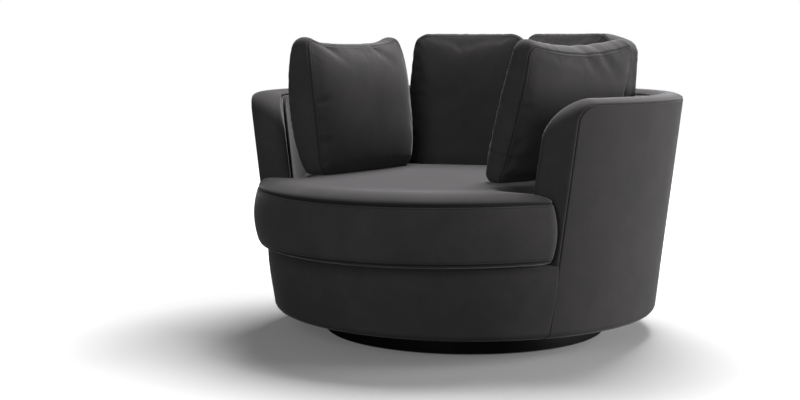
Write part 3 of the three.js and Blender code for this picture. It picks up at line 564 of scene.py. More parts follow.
@dataclass(frozen=True)
class ArmSide:
    """The tub's outline from the side: an upright arm front, a level rim and a rounded corner between."""

    reach: float
    top: float
    corner: float

    def inside(self, y: Array, z: Array) -> Array:
        """How far a point lies inside the outline.

        Args:
            y: Places from the axis, negative to the front.
            z: Heights.

        Returns:
            The distances, positive inside.
        """
        ahead = -self.reach + self.corner - y
        above = z - self.top + self.corner
        outer = np.hypot(np.maximum(ahead, 0), np.maximum(above, 0))
        return self.corner - outer - np.minimum(np.maximum(ahead, above), 0)

    def front_at(self, z: float) -> float:
        """The y of the outline's front edge at a height."""
        rise = max(z - (self.top - self.corner), 0)
        return -self.reach + self.corner - math.sqrt(max(self.corner ** 2 - rise ** 2, 0))

    def levels(self, edge: float, count: int) -> list[float]:
        """Heights from the corner's start up to the top, close together near the seam.

        Args:
            edge: Radius of the rolled edge.
            count: How many steps the corner has.

        Returns:
            The heights, rising.
        """
        drops = {float(d) for d in edge_steps(edge) if d < self.corner}
        drops |= {self.corner * (1 - math.sin(math.pi / 2 * i / count)) for i in range(count)}
        return [self.top - d for d in sorted(drops, reverse=True)]


@dataclass(frozen=True)
class TubForm:
    """The tub's sizes, and where its upholstered faces lie."""

    wall_radius: float = 0.650
    seam_height: float = 0.703
    wall_flare: float = 0.113
    wall_thickness: float = 0.085
    arm_reach: float = 0.352
    foot_height: float = 0.0678
    foot_rounding: float = 0.025
    turn_under: float = 0.055
    corner_outer: float = 0.045
    corner_inner: float = 0.100
    rim_crown: float = 0.017
    lining_proud: float = 0.008
    lining_top: float = 0.706
    deck_height: float = 0.277
    gap: float = 0.0003
    foot_steps: int = 9

    def outer(self, z: Array | float) -> Array | float:
        """The wall's outer radius at a height."""
        return self.wall_radius - self.wall_flare * (self.seam_height - z)

    def inner(self, z: Array | float) -> Array | float:
        """The wall's inner radius at a height."""
        return self.outer(z) - self.wall_thickness

    def lining(self, z: Array | float) -> Array | float:
        """The lining pad's radius at a height."""
        return self.inner(z) - self.lining_proud

    def foot_profile(self) -> list[Row]:
        """The underside and the rounding at the foot.

        Returns:
            Radius, height and outward direction (across, up) of each row, from the inside out.
        """
        round_top = self.foot_height + self.foot_rounding
        radius = self.outer(round_top) - self.foot_rounding
        rows = [(radius - self.turn_under * share, self.foot_height, 0.0, -1.0)
                for share in (1, 0.66, 0.33)]
        for i in range(self.foot_steps):
            turn = math.pi / 2 * i / self.foot_steps
            rows.append((radius + self.foot_rounding * math.sin(turn),
                         round_top - self.foot_rounding * math.cos(turn), math.sin(turn), -math.cos(turn)))
        return rows

    def wall_normal(self) -> tuple[float, float]:
        """The wall's outward direction, across and up."""
        length = math.hypot(1, self.wall_flare)
        return 1 / length, -self.wall_flare / length


def lathe_grid(rows: Sequence[Row], turns: Callable[[float, float], Array],
               depth: Callable[[Array, Array], Array]) -> tuple[Array, Array]:
    """Turns a profile into a grid of points, sunk by a depth along the profile's own direction.

    Args:
        rows: Radius, height and outward direction of each row.
        turns: The angles of a row's points, from its radius and height.
        depth: How far a point is sunk, from its y and z.

    Returns:
        The points and how far each is sunk.
    """
    grid, sunk = [], []
    for radius, height, across, up in rows:
        angles = turns(radius, height)
        heights = np.full_like(angles, height)
        sink = depth(radius * np.sin(angles), heights)
        reach = radius - sink * across
        grid.append(np.stack([reach * np.cos(angles), reach * np.sin(angles), heights - sink * up], axis=1))
        sunk.append(sink)
    return np.array(grid), np.array(sunk)


Station = tuple[Vector, Vector, Vector, Vector]


@dataclass
class TubUpholstery:
    """The tub's fixed covers: the outer panel, the front rail's panel, the border strip and the lining."""

    wardrobe: Wardrobe
    form: TubForm = field(default_factory=TubForm)
    seam_radius: float = 0.0032
    # How deep into a seam the painted shadow starts, as a share of the seam's radius.
    shadow_start: float = 0.35
    cover_thickness: float = 0.003
    column_count: int = 220
    outer_rows: int = 26
    outer_corner_rows: int = 14
    rail_rows: int = 16
    rail_edge_rows: int = 8
    rail_top_rows: int = 10
    rail_pad_width: float = 0.092
    rail_edge: float = 0.011
    rail_puff: float = 0.004
    border_knots: tuple[tuple[float, float], ...] = ((0.012, 0.2), (0.1, 0.6), (0.33, 0.985), (0.62, 0.99),
                                                     (0.868, 0.66))
    border_steps: int = 7
    border_rows: tuple[int, int, int] = (30, 26, 90)
    border_inner_drop: float = 0.008
    border_inner_rise: float = 0.006
    border_wrap_depth: float = 0.112
    border_tuck: float = 0.003
    lining_base: float = 0.2652
    lining_rows: int = 22
    lining_corner_rows: int = 12
    lining_thickness: float = 0.014
    lining_corner: float = 0.040
    lining_edge: float = 0.0065

    def make(self) -> None:
        """Builds and dresses each cover."""
        for build, fill, node in ((self.outer_panel, 0.35, "outer_cover"),
                                  (self.rail_panel, 0.5, "front_rail_cover"),
                                  (self.border_strip, 0.7, "border_cover"),
                                  (self.lining_pad, 0.4, "lining_pad")):
            self.wardrobe.dress(build(), Slot.FABRIC, Body.TUB, node, fill)

    def spread(self, start: float, end: float, radius: float, edge: float) -> Array:
        """Angles from one edge of a panel to the other, close together at both.

        Args:
            start: The first angle.
            end: The last angle.
            radius: Of the row.
            edge: Radius of the rolled edges.

        Returns:
            The angles.
        """
        steps = edge_steps(edge) / max(radius, 0.05)
        middle = np.linspace(start + steps[-1], end - steps[-1], self.column_count)[1:-1]
        return np.concatenate([start + steps, middle, (end - steps)[::-1]])

    def behind_arms(self, side: ArmSide, edge: float) -> Callable[[float, float], Array]:
        """Spreads each row from the right arm's front round the back to the left one's.

        Args:
            side: The outline that the rows end at.
            edge: Radius of the rolled edges.

        Returns:
            What gives a row's angles from its radius and height.
        """
        def turns(radius: float, height: float) -> Array:
            """The row's angles."""
            start = math.asin(max(side.front_at(height) / radius, -1))
            return self.spread(start, math.pi - start, radius, edge)

        return turns

    def thin_cover(self, name: str, rows: Sequence[Row], turns: Callable[[float, float], Array],
                   depth: Callable[[Array, Array], Array]) -> bpy.types.Object:
        """Turns a cover of even thickness, with painted shadow where its seams draw it in.

        Args:
            name: The piece's name.
            rows: Its profile.
            turns: The angles of a row's points, from its radius and height.
            depth: How far its face is sunk, from a point's y and z.

        Returns:
            The cover.
        """
        front, sunk = lathe_grid(rows, turns, depth)
        back, _ = lathe_grid(rows, turns, lambda y, z: depth(y, z) + self.cover_thickness)
        # Painted seam shadow: the deeper the face is sunk into a seam, the darker it is.
        return closed_sheet(name, front, back, np.clip(sunk / self.seam_radius - self.shadow_start, 0, 1))

    def outer_panel(self) -> bpy.types.Object:
        """Builds the panel round the outside, from under the foot to the seam below the rim."""
        form = self.form
        side = ArmSide(form.arm_reach, form.seam_height, form.corner_outer)
        across, up = form.wall_normal()
        low, high = form.foot_height + form.foot_rounding, form.seam_height - form.corner_outer
        levels = list(np.linspace(low, high, self.outer_rows))[:-1]
        levels += side.levels(self.seam_radius, self.outer_corner_rows)
        rows = form.foot_profile() + [(form.outer(z), z, across, up) for z in levels]
        return self.thin_cover("outer_panel", rows, self.behind_arms(side, self.seam_radius),
                               lambda y, z: roll(side.inside(y, z), self.seam_radius))

    def rail_panel(self) -> bpy.types.Object:
        """Builds the padded front rail's cover, from the deck over the rail and down under the foot."""
        form = self.form
        reach = form.arm_reach + form.gap
        across, up = form.wall_normal()
        rows = form.foot_profile()
        low, high = form.foot_height + form.foot_rounding, form.deck_height - self.rail_edge
        for share in np.linspace(0, 1, self.rail_rows):
            height = low + (high - low) * share
            puff = self.rail_puff * math.sin(math.pi * share ** 1.4) ** 0.8 if 0 < share < 1 else 0.0
            rows.append((form.outer(height) + puff, height, across, up))
        centre = form.outer(form.deck_height) - self.rail_edge
        for i in range(1, self.rail_edge_rows + 1):
            turn = math.pi / 2 * i / self.rail_edge_rows
            height = form.deck_height - self.rail_edge * (1 - math.sin(turn))
            rows.append((centre + self.rail_edge * math.cos(turn), height, math.cos(turn), math.sin(turn)))
        inside = form.outer(form.deck_height) - self.rail_pad_width
        for radius in np.linspace(centre, inside, self.rail_top_rows)[1:]:
            rows.append((radius, form.deck_height, 0.0, 1.0))

        def turns(radius: float, height: float) -> Array:
            """The row's angles from the left arm across the front to the right one."""
            half = math.acos(min(reach / radius, 1))
            return self.spread(-math.pi / 2 - half, -math.pi / 2 + half, radius, self.seam_radius)

        return self.thin_cover("rail_panel", rows, turns, lambda y, z: roll(-y - reach, self.seam_radius))

    def border_strip(self) -> bpy.types.Object:
        """Builds the strip that runs up one arm front, round the rim and down the other."""
        sections = [self.border_section(*station) for station in self.border_stations()]
        front, back = [np.array(side) for side in zip(*sections)]
        seam = np.zeros(front.shape[:2])
        # Painted seam shadow on the three rows beside the outer seam, darkest at the seam.
        seam[:, :3] = np.array([1.0, 0.7, 0.2])
        return closed_sheet("border_strip", front, back, seam)

    def border_stations(self) -> list[Station]:
        """Lays out the strip's places.

        Returns:
            Outer edge, inner edge, where its inner side ends, and the way it faces, along the strip.
        """
        form = self.form
        seam = form.seam_height + 2 * form.gap
        front = -form.arm_reach - 2 * form.gap
        wrap_front = front + self.border_wrap_depth
        wrap_top = form.lining_top + form.gap
        foot = form.deck_height - self.border_tuck
        upright_rows, corner_rows, rim_rows = self.border_rows

        def place(radius_at: Callable[[float], float], y: float, z: float) -> Vector:
            """A point on one of the wall's faces, on the right."""
            return Vector((math.sqrt(max(radius_at(z) ** 2 - y * y, 0)), y, z))

        half: list[Station] = []
        for share in np.linspace(0, 1, upright_rows)[:-1]:
            levels = [foot + (top - foot) * share for top in
                      (seam - form.corner_outer, seam - form.corner_inner, wrap_top - self.lining_corner)]
            half.append((place(form.outer, front, levels[0]), place(form.inner, front, levels[1]),
                         place(form.inner, wrap_front, levels[2]), Vector((0, -1, 0))))
        for turn in np.linspace(0, math.pi / 2, corner_rows):
            def on_arc(radius_at: Callable[[float], float], corner: float, y: float, z: float) -> Vector:
                """A point on a corner between the arm front and the rim."""
                ahead, above = corner * (1 - math.cos(turn)), corner * (1 - math.sin(turn))
                return place(radius_at, y + ahead, z - above)

            half.append((on_arc(form.outer, form.corner_outer, front, seam),
                         on_arc(form.inner, form.corner_inner, front, seam),
                         on_arc(form.inner, self.lining_corner, wrap_front, wrap_top),
                         Vector((0, -math.cos(turn), math.sin(turn)))))
        starts = [math.atan2(p.y, p.x) for p in half[-1][:3]]
        radii = [form.outer(seam), form.inner(seam), form.inner(wrap_top)]
        for share in np.linspace(0, 1, rim_rows)[1:]:
            angles = [start + (math.pi / 2 - start) * share for start in starts]
            outer, inner, wrap = [Vector((r * math.cos(a), r * math.sin(a), z))
                                  for r, a, z in zip(radii, angles, (seam, seam, wrap_top))]
            half.append((outer, inner, wrap, Vector((0, 0, 1))))
        flipped = [tuple(Vector((-p.x, p.y, p.z)) for p in station) for station in reversed(half[:-1])]
        return half + flipped

    def border_section(self, outer: Vector, inner: Vector, wrap: Vector,
                       facing: Vector) -> tuple[Array, Array]:
        """Draws the strip's section at one place.

        Args:
            outer: Its edge at the outer seam.
            inner: Its edge at the inside of the wall.
            wrap: Where its inner side ends, behind the lining.
            facing: The way that it faces.

        Returns:
            The section's points on its face and behind it.
        """
        form = self.form
        level = Vector((outer.x, outer.y, 0)).normalized()
        lift = -self.border_inner_drop + (self.border_inner_drop + self.border_inner_rise) * facing.z
        shoulder = inner + facing * lift
        bow = (shoulder - wrap).length_squared / (8 * form.inner(form.seam_height))
        bowed = shoulder.lerp(wrap, 0.5) + Vector((inner.x, inner.y, 0)).normalized() * bow
        knots = [outer - level * self.seam_radius]
        knots += [outer.lerp(inner, share) + facing * (form.rim_crown * swell)
                  for share, swell in self.border_knots]
        knots += [shoulder, bowed, wrap]
        curve = spline(np.array([list(k) for k in knots]), self.border_steps)
        cut = np.gradient(curve, axis=0)
        along = np.array(facing.cross(level).normalized())
        inward = np.cross(cut, along)
        inward /= np.maximum(np.linalg.norm(inward, axis=1, keepdims=True), 1e-9)
        heart = np.array(outer.lerp(inner, 0.5) - facing * 0.01)
        inward *= np.sign(np.sum(inward * (heart - curve), axis=1, keepdims=True))
        return curve, curve + inward * self.cover_thickness

    def lining_pad(self) -> bpy.types.Object:
        """Builds the pad that lines the inside of the tub."""
        form = self.form
        side = ArmSide(form.arm_reach - self.border_wrap_depth - 2 * form.gap, form.lining_top - form.gap,
                       self.lining_corner)
        across, up = form.wall_normal()
        levels = list(np.linspace(self.lining_base, side.top - side.corner, self.lining_rows))[:-1]
        levels += side.levels(self.lining_edge, self.lining_corner_rows)
        rows = [(form.lining(z), z, -across, -up) for z in levels]
        turns = self.behind_arms(side, self.lining_edge)
        front, _ = lathe_grid(rows, turns, lambda y, z: roll(side.inside(y, z), self.lining_edge))
        back, _ = lathe_grid(rows, turns, lambda y, z: np.full_like(y, self.lining_thickness))
        return closed_sheet("lining_panel", front, back)


def spline(knots: Array, steps: int) -> Array:
    """Draws a smooth curve through points, evenly tensioned between them.

    Args:
        knots: The points.
        steps: How many parts each stretch is cut into.

    Returns:
        The curve's points.
    """
    padded = np.concatenate([[2 * knots[0] - knots[1]], knots, [2 * knots[-1] - knots[-2]]])
    spans = np.maximum(np.linalg.norm(np.diff(padded, axis=0), axis=1), 1e-9) ** 0.5
    places = np.concatenate([[0], np.cumsum(spans)])
    points = []
    for i in range(1, len(padded) - 2):
        p0, p1, p2, p3 = padded[i - 1:i + 3]
        t0, t1, t2, t3 = places[i - 1:i + 3]
        for share in np.arange(steps) / steps:
            t = t1 + (t2 - t1) * share
            a1 = ((t1 - t) * p0 + (t - t0) * p1) / (t1 - t0)
            a2 = ((t2 - t) * p1 + (t - t1) * p2) / (t2 - t1)
            a3 = ((t3 - t) * p2 + (t - t2) * p3) / (t3 - t2)
            b1 = ((t2 - t) * a1 + (t - t0) * a2) / (t2 - t0)
            b2 = ((t3 - t) * a2 + (t - t1) * a3) / (t3 - t1)
            points.append(((t2 - t) * b1 + (t - t1) * b2) / (t2 - t1))
    points.append(knots[-1])
    return np.array(points)


# Cushions


@dataclass(frozen=True)
class Fold:
    """A soft fold in a cushion's cover, in the cushion's own plane: along it, and up from its foot."""

    start: tuple[float, float]
    end: tuple[float, float]
    bow: float = 0.0
    width: float = 0.016
    depth: float = 0.006
    ridge: float = 0.6
    ridge_offset: float = 1.7
    ridge_width: float = 1.2
    narrow: float = 0.55
    widening: float = 0.9
    steps: int = 33

    def lift(self, across: Array, up: Array) -> Array:
        """How far the fold raises or sinks each point.

        Args:
            across: Places along the cushion.
            up: Places up it.

        Returns:
            The rise along the face's own direction.
        """
        start, end = np.array(self.start), np.array(self.end)
        run = end - start
        aside = np.array([-run[1], run[0]]) / np.linalg.norm(run)
        shares = np.linspace(0, 1, self.steps)
        path = start + shares[:, None] * run
        path = path + (4 * self.bow * shares * (1 - shares))[:, None] * aside
        headings = np.gradient(path, axis=0)
        headings /= np.linalg.norm(headings, axis=1, keepdims=True)
        points = np.stack([across, up], axis=-1)
        gaps = points[..., None, :] - path
        nearest = np.argmin(np.sum(gaps ** 2, axis=-1), axis=-1)
        gap = np.take_along_axis(gaps, nearest[..., None, None], axis=-2)[..., 0, :]
        heading = headings[nearest]
        side = heading[..., 0] * gap[..., 1] - heading[..., 1] * gap[..., 0]
        past = np.abs(heading[..., 0] * gap[..., 0] + heading[..., 1] * gap[..., 1])
        share = shares[nearest]
        width = self.width * (self.narrow + self.widening * share)
        valley = np.exp(-(side / width) ** 2)
        ridge = self.ridge * np.exp(-((side - self.ridge_offset * width) / (self.ridge_width * width)) ** 2)
        fade = (1 - share) ** 0.8 * np.exp(-(past / (0.6 * self.width)) ** 2)
        return self.depth * fade * (ridge - valley)


@dataclass
class CushionSkin:
    """A boxed cushion's closed skin: two crowned panels, a swelling boxing, and the seams between them."""

    outline: Array
    middle: Array
    low: Callable[[Array], Array]
    high: Callable[[Array], Array]
    under: Callable[[Array], Array]
    over: Callable[[Array], Array]
    swell: float
    seam_sink: float = 0.0026
    seam_reach: float = 0.0055
    seam_bite: float = 0.7
    # How far the painted shadow reaches beside a seam.
    shadow_width: float = 0.0024
    stitch_offset: float = 0.0068
    stitch_width: float = 0.0011
    stitch_sink: float = 0.0009
    # How dark the painted shadow along the topstitching is.
    stitch_shadow_tone: float = 0.45
    stitch_on_boxing: bool = False
    # How strong the painted seam shadow is overall.
    seam_shadow_tone: float = 1.0
    gather: float = 0.0
    gather_run: float = 0.022
    gather_seed: int = 3
    gather_waves: int = 7
    gather_lengths: tuple[float, float] = (0.022, 0.06)
    gather_heights: tuple[float, float] = (0.4, 1.0)
    gather_on_panel: float = 0.6
    panel_steps: int = 30
    boxing_steps: int = 16
    tightest: float = 0.6
    least_room: float = 0.25
    points: Array = field(init=False)
    face: Array = field(init=False)
    seam: Array = field(init=False)
    faces: list[tuple[int, ...]] = field(init=False)

    def __post_init__(self) -> None:
        """Draws the skin."""
        following = np.roll(self.outline, -1, axis=0)
        before = np.roll(self.outline, 1, axis=0)
        tangent = following - before
        tangent /= np.linalg.norm(tangent, axis=1, keepdims=True)
        self.normal = np.stack([tangent[:, 1], -tangent[:, 0]], axis=1)
        steps = np.linalg.norm(following - self.outline, axis=1)
        self.run = np.concatenate([[0], np.cumsum(steps)[:-1]])
        self.length = float(steps.sum())
        self.room = self.corner_room(steps)
        rings = self.panel(-1) + self.boxing() + list(reversed(self.panel(1)))
        places = np.concatenate([ring[0] for ring in rings])
        centre = self.middle[None]
        tips = np.array([[*self.middle, (self.low(centre) - self.under(centre))[0]],
                         [*self.middle, (self.high(centre) + self.over(centre))[0]]])
        self.points = np.concatenate([places, tips])
        self.face = np.concatenate([np.full(len(ring[0]), ring[1]) for ring in rings] + [[-1.0, 1.0]])
        # Each point's painted seam shadow, from its ring's shade.
        self.seam = np.concatenate([np.full(len(ring[0]), ring[2]) for ring in rings] + [[0.0, 0.0]])
        size, count = len(self.outline), len(rings)
        self.faces = []
        for k in range(size):
            after = (k + 1) % size
            for i in range(count - 1):
                a, b = i * size + k, i * size + after
                self.faces.append((a, b, b + size, a + size))
            last = (count - 1) * size
            self.faces.append((after, k, count * size))
            self.faces.append((last + k, last + after, count * size + 1))

    def corner_room(self, steps: Array) -> Array:
        """How far rings beside a seam can keep their distance from it without folding at a corner.

        Args:
            steps: Distances between the outline's points.

        Returns:
            The share of the distance at each point.
        """
        after = np.roll(self.normal, -1, axis=0)
        turning = self.normal[:, 0] * after[:, 1] - self.normal[:, 1] * after[:, 0]
        bend = np.maximum(turning / steps, 0)
        widest = np.max([np.roll(bend, offset) for offset in range(-5, 6)], axis=0)
        room = np.clip(self.tightest / np.maximum(widest * self.distances()[-1], 1e-6), self.least_room, 1)
        return np.mean([np.roll(room, offset) for offset in range(-4, 5)], axis=0)[:, None]

    def sink(self, distance: Array | float, stitched: bool) -> Array | float:
        """How deep the cover is drawn in at a distance from a seam.

        Args:
            distance: From the seam.
            stitched: Whether a row of topstitching runs on this side of it.

        Returns:
            The depth.
        """
        away = np.asarray(distance)
        depth = self.seam_sink * np.clip(1 - away / self.seam_reach, 0, 1) ** 2
        if stitched:
            beside = (away - self.stitch_offset) / self.stitch_width
            depth = depth + self.stitch_sink * np.exp(-beside ** 2)
        return depth

    def shade(self, distance: float, stitched: bool) -> float:
        """How dark the seam's shadow line is at a distance from it."""
        tone = max(0.0, 1 - distance / self.shadow_width)
        if stitched:
            tone += self.stitch_shadow_tone * math.exp(-((distance - self.stitch_offset) / self.stitch_width) ** 2)
        return min(1.0, tone) * self.seam_shadow_tone

    def distances(self) -> list[float]:
        """Distances from a seam at which rings are drawn."""
        return [0.0, 0.0007, 0.0015, 0.0026, 0.004, 0.0052, 0.006, 0.0068, 0.0076, 0.0086, 0.0105, 0.014]

    def ripple(self, distance: float) -> Array:
        """Small gathers along a seam, dying away from it.

        Args:
            distance: From the seam.

        Returns:
            The rise at each point of the outline.
        """
        if not self.gather:
            return np.zeros(len(self.outline))
        chance = np.random.default_rng(self.gather_seed)
        wave = np.zeros(len(self.outline))
        for _ in range(self.gather_waves):
            cycles = round(self.length / chance.uniform(*self.gather_lengths))
            height = chance.uniform(*self.gather_heights)
            start = chance.uniform(0, 2 * math.pi)
            wave += height * np.sin(2 * math.pi * cycles * self.run / self.length + start)
        fade = math.exp(-distance / self.gather_run) * distance / (distance + 0.002)
        return self.gather * wave / 2.2 * fade

    def panel(self, face: int) -> list[tuple[Array, float, float]]:
        """Draws one panel's rings, from its middle out to its seam.

        Args:
            face: 1 for the upper or front panel, -1 for the other.

        Returns:
            Each ring's points, its face, and how dark its seam shadow is.
        """
        level, rise = (self.high, self.over) if face > 0 else (self.low, self.under)
        stitched = face > 0 and not self.stitch_on_boxing
        edge = self.distances()[-1]
        rings = []

        def ring(flat: Array, away: float, sunk: Array | float, tone: float) -> None:
            """Adds a ring at its places in the plane, at a distance from the seam."""
            height = rise(flat) + self.ripple(away) * self.gather_on_panel - sunk
            rings.append((self.stack(flat, level(flat) + face * height), float(face), tone))

        for distance in self.distances()[1:]:
            sunk = self.sink(distance, stitched) * self.seam_bite
            ring(self.outline - self.normal * self.room * (distance + sunk), distance, sunk,
                 self.shade(distance, stitched))
        last = self.outline - self.normal * self.room * edge
        for share in 1 - np.linspace(0, 1, self.panel_steps + 1)[1:-1] ** 0.9:
            ring(self.middle + (last - self.middle) * share, (1 - share) * 0.2 + edge, 0.0, 0.0)
        return rings[::-1]

    def boxing(self) -> list[tuple[Array, float, float]]:
        """Draws the boxing's rings, from the lower seam to the upper one."""
        low = self.low(self.outline)
        span = self.high(self.outline) - low
        near = [d for d in self.distances() if d < float(span.min()) * 0.3]
        shares = np.linspace(0, 1, self.boxing_steps + 2)[1:-1]
        rises = [np.full(len(span), d) for d in near]
        rises += [near[-1] + (span - 2 * near[-1]) * share for share in shares]
        rises += [span - d for d in reversed(near)]
        rings = []
        for rise in rises:
            distance = np.minimum(rise, span - rise)
            closest = float(distance.min())
            deep = self.seam_bite * self.sink(distance, self.stitch_on_boxing)
            push = self.swell * np.maximum(np.sin(math.pi * rise / span), 0) ** 0.8 - deep
            flat = self.outline + self.normal * (push + self.ripple(closest))[:, None]
            toward = np.where(distance < self.seam_reach, deep * np.where(rise < span / 2, 1, -1), 0)
            tone = self.shade(closest, self.stitch_on_boxing)
            rings.append((self.stack(flat, low + rise + toward), 0.0, tone))
        return rings

    @staticmethod
    def stack(flat: Array, height: Array) -> Array:
        """Joins places in the plane with their heights."""
        return np.concatenate([flat, height[:, None]], axis=1)


def distance_to(outline: Array, points: Array) -> Array:
    """How far points in a plane lie from a closed outline.

    Args:
        outline: The outline's points.
        points: The points.

    Returns:
        Their distances.
    """
    following = np.roll(outline, -1, axis=0)
    edge = following - outline
    nearest = np.full(len(points), np.inf)
    for start, run in zip(outline, edge):
        gap = points - start
        share = np.clip(gap @ run / max(run @ run, 1e-12), 0, 1)
        nearest = np.minimum(nearest, np.linalg.norm(gap - share[:, None] * run, axis=1))
    return nearest


def soft_distance_to(outline: Array, points: Array, near: float = 0.02, far: float = 0.06) -> Array:
    """Like distance_to, but without a crease along the middle of a narrow part.

    Args:
        outline: The outline's points.
        points: The points.
        near: Distance below which nothing is softened.
        far: Distance above which all is.

    Returns:
        Their distances.
    """
    following = np.roll(outline, -1, axis=0)
    lengths = np.linalg.norm(following - outline, axis=1)
    pull = np.zeros(len(points))
    for place, length in zip((outline + following) / 2, lengths):
        pull += length / np.maximum(np.sum((points - place) ** 2, axis=1), 1e-8) ** 2
    true = distance_to(outline, points)
    soft = (2 * pull / math.pi) ** (-1 / 3)
    return true + (soft - true) * smooth_step(near, far, true)


def crown_share(distance: Array, run: float, fullness: float = 1.0) -> Array:
    """How far a panel has risen at a distance from its seam, steeper at first with a fullness below 1."""
    return (1 - (1 - np.clip(distance / run, 0, 1)) ** 2) ** fullness


def even_outline(points: Array, count: int, rounding: float) -> Array:
    """Spaces a closed outline evenly and rounds its sharp corners.

    Args:
        points: The outline.
        count: How many points it gets.
        rounding: How far the smoothing reaches.

    Returns:
        The new outline.
    """
    closed = np.concatenate([points, points[:1]])
    run = np.concatenate([[0], np.cumsum(np.linalg.norm(np.diff(closed, axis=0), axis=1))])
    places = np.linspace(0, run[-1], count, endpoint=False)
    even = np.stack([np.interp(places, run, closed[:, i]) for i in range(2)], axis=1)
    step = run[-1] / count
    reach = int(3 * rounding / step) + 1
    offsets = np.arange(-reach, reach + 1)
    weights = np.exp(-0.5 * (offsets * step / rounding) ** 2)
    weights /= weights.sum()
    return sum(weight * np.roll(even, -offset, axis=0) for weight, offset in zip(weights, offsets))


def mesh_rows(mesh: bpy.types.Mesh, what: str) -> Array:
    """A mesh's points or their normals as rows."""
    flat = np.empty(len(mesh.vertices) * 3)
    mesh.vertices.foreach_get(what, flat)
    return flat.reshape(-1, 3)


def move_points(piece: bpy.types.Object, points: Array) -> None:
    """Moves a piece's points to new places."""
    piece.data.vertices.foreach_set("co", points.reshape(-1))
    piece.data.update()


@dataclass
class Settling:
    """A short cloth run that lets a cushion's cover fill and pucker, carried back to its fine skin."""

    voxel: float = 0.008
    pressure: float = 4.0
    furthest: float = 0.006
    frames: int = 20
    inward: float = 0.0006
    slack: float = 0.012
    neighbours: int = 5
    blur: float = 0.002

    def run(self, piece: bpy.types.Object, held: Callable[[Array], Array]) -> None:
        """Runs the cloth on a coarse copy and moves the piece's points by what it did.

        Args:
            piece: The cushion.
            held: Says how firmly points are held, from 0 to 1.
        """
        copy = bpy.data.objects.new(f"{piece.name}_draft", piece.data.copy())
        bpy.context.scene.collection.objects.link(copy)
        bpy.ops.object.select_all(action="DESELECT")
        copy.select_set(True)
        bpy.context.view_layer.objects.active = copy
        remesh = copy.modifiers.new("Remesh", "REMESH")
        remesh.mode = "VOXEL"
        remesh.voxel_size = self.voxel
        bpy.ops.object.modifier_apply(modifier=remesh.name)
        rest = mesh_rows(copy.data, "co")
        normals = mesh_rows(copy.data, "normal")
        group = copy.vertex_groups.new(name="held")
        for index, weight in enumerate(held(rest)):
            if weight > 0.01:
                group.add([index], float(weight), "REPLACE")
        cloth = copy.modifiers.new("Cloth", "CLOTH")
        for name, value in {"quality": 6, "mass": 0.35, "tension_stiffness": 22,
                            "compression_stiffness": 22, "bending_stiffness": 2.5, "use_pressure": True,
                            "uniform_pressure_force": self.pressure, "vertex_group_mass": "held",
                            "shrink_min": -self.slack}.items():
            setattr(cloth.settings, name, value)
        cloth.settings.effector_weights.gravity = 0
        scene = bpy.context.scene
        cloth.point_cache.frame_start = 1
        cloth.point_cache.frame_end = self.frames
        for frame in range(1, self.frames + 1):
            scene.frame_set(frame)
        shown = copy.evaluated_get(bpy.context.evaluated_depsgraph_get())
        moved = mesh_rows(shown.data, "co") - rest
        scene.frame_set(1)
        reach = np.linalg.norm(moved, axis=1, keepdims=True)
        moved *= np.minimum(1, self.furthest / np.maximum(reach, 1e-9))
        along = np.sum(moved * normals, axis=1)
        moved += normals * (np.maximum(along, -self.inward) - along)[:, None]
        log.info("%s settled: %d points, %.1f mm at most", piece.name, len(rest), 1000 * float(reach.max()))
        self.carry(piece, rest, moved)
        bpy.data.objects.remove(copy)

    def carry(self, piece: bpy.types.Object, rest: Array, moved: Array) -> None:
        """Moves a piece's points as the nearest points of the coarse copy moved.

        Args:
            piece: The finely drawn piece.
            rest: Where the copy's points were.
            moved: How far each went.
        """
        tree = KDTree(len(rest))
        for index, point in enumerate(rest):
            tree.insert(point, index)
        tree.balance()
        points = mesh_rows(piece.data, "co")
        for index, point in enumerate(points):
            found = tree.find_n(point, self.neighbours)
            weights = np.array([1 / (distance + self.blur) for _, _, distance in found])
            points[index] += weights @ moved[[k for _, k, _ in found]] / weights.sum()
        move_points(piece, points)


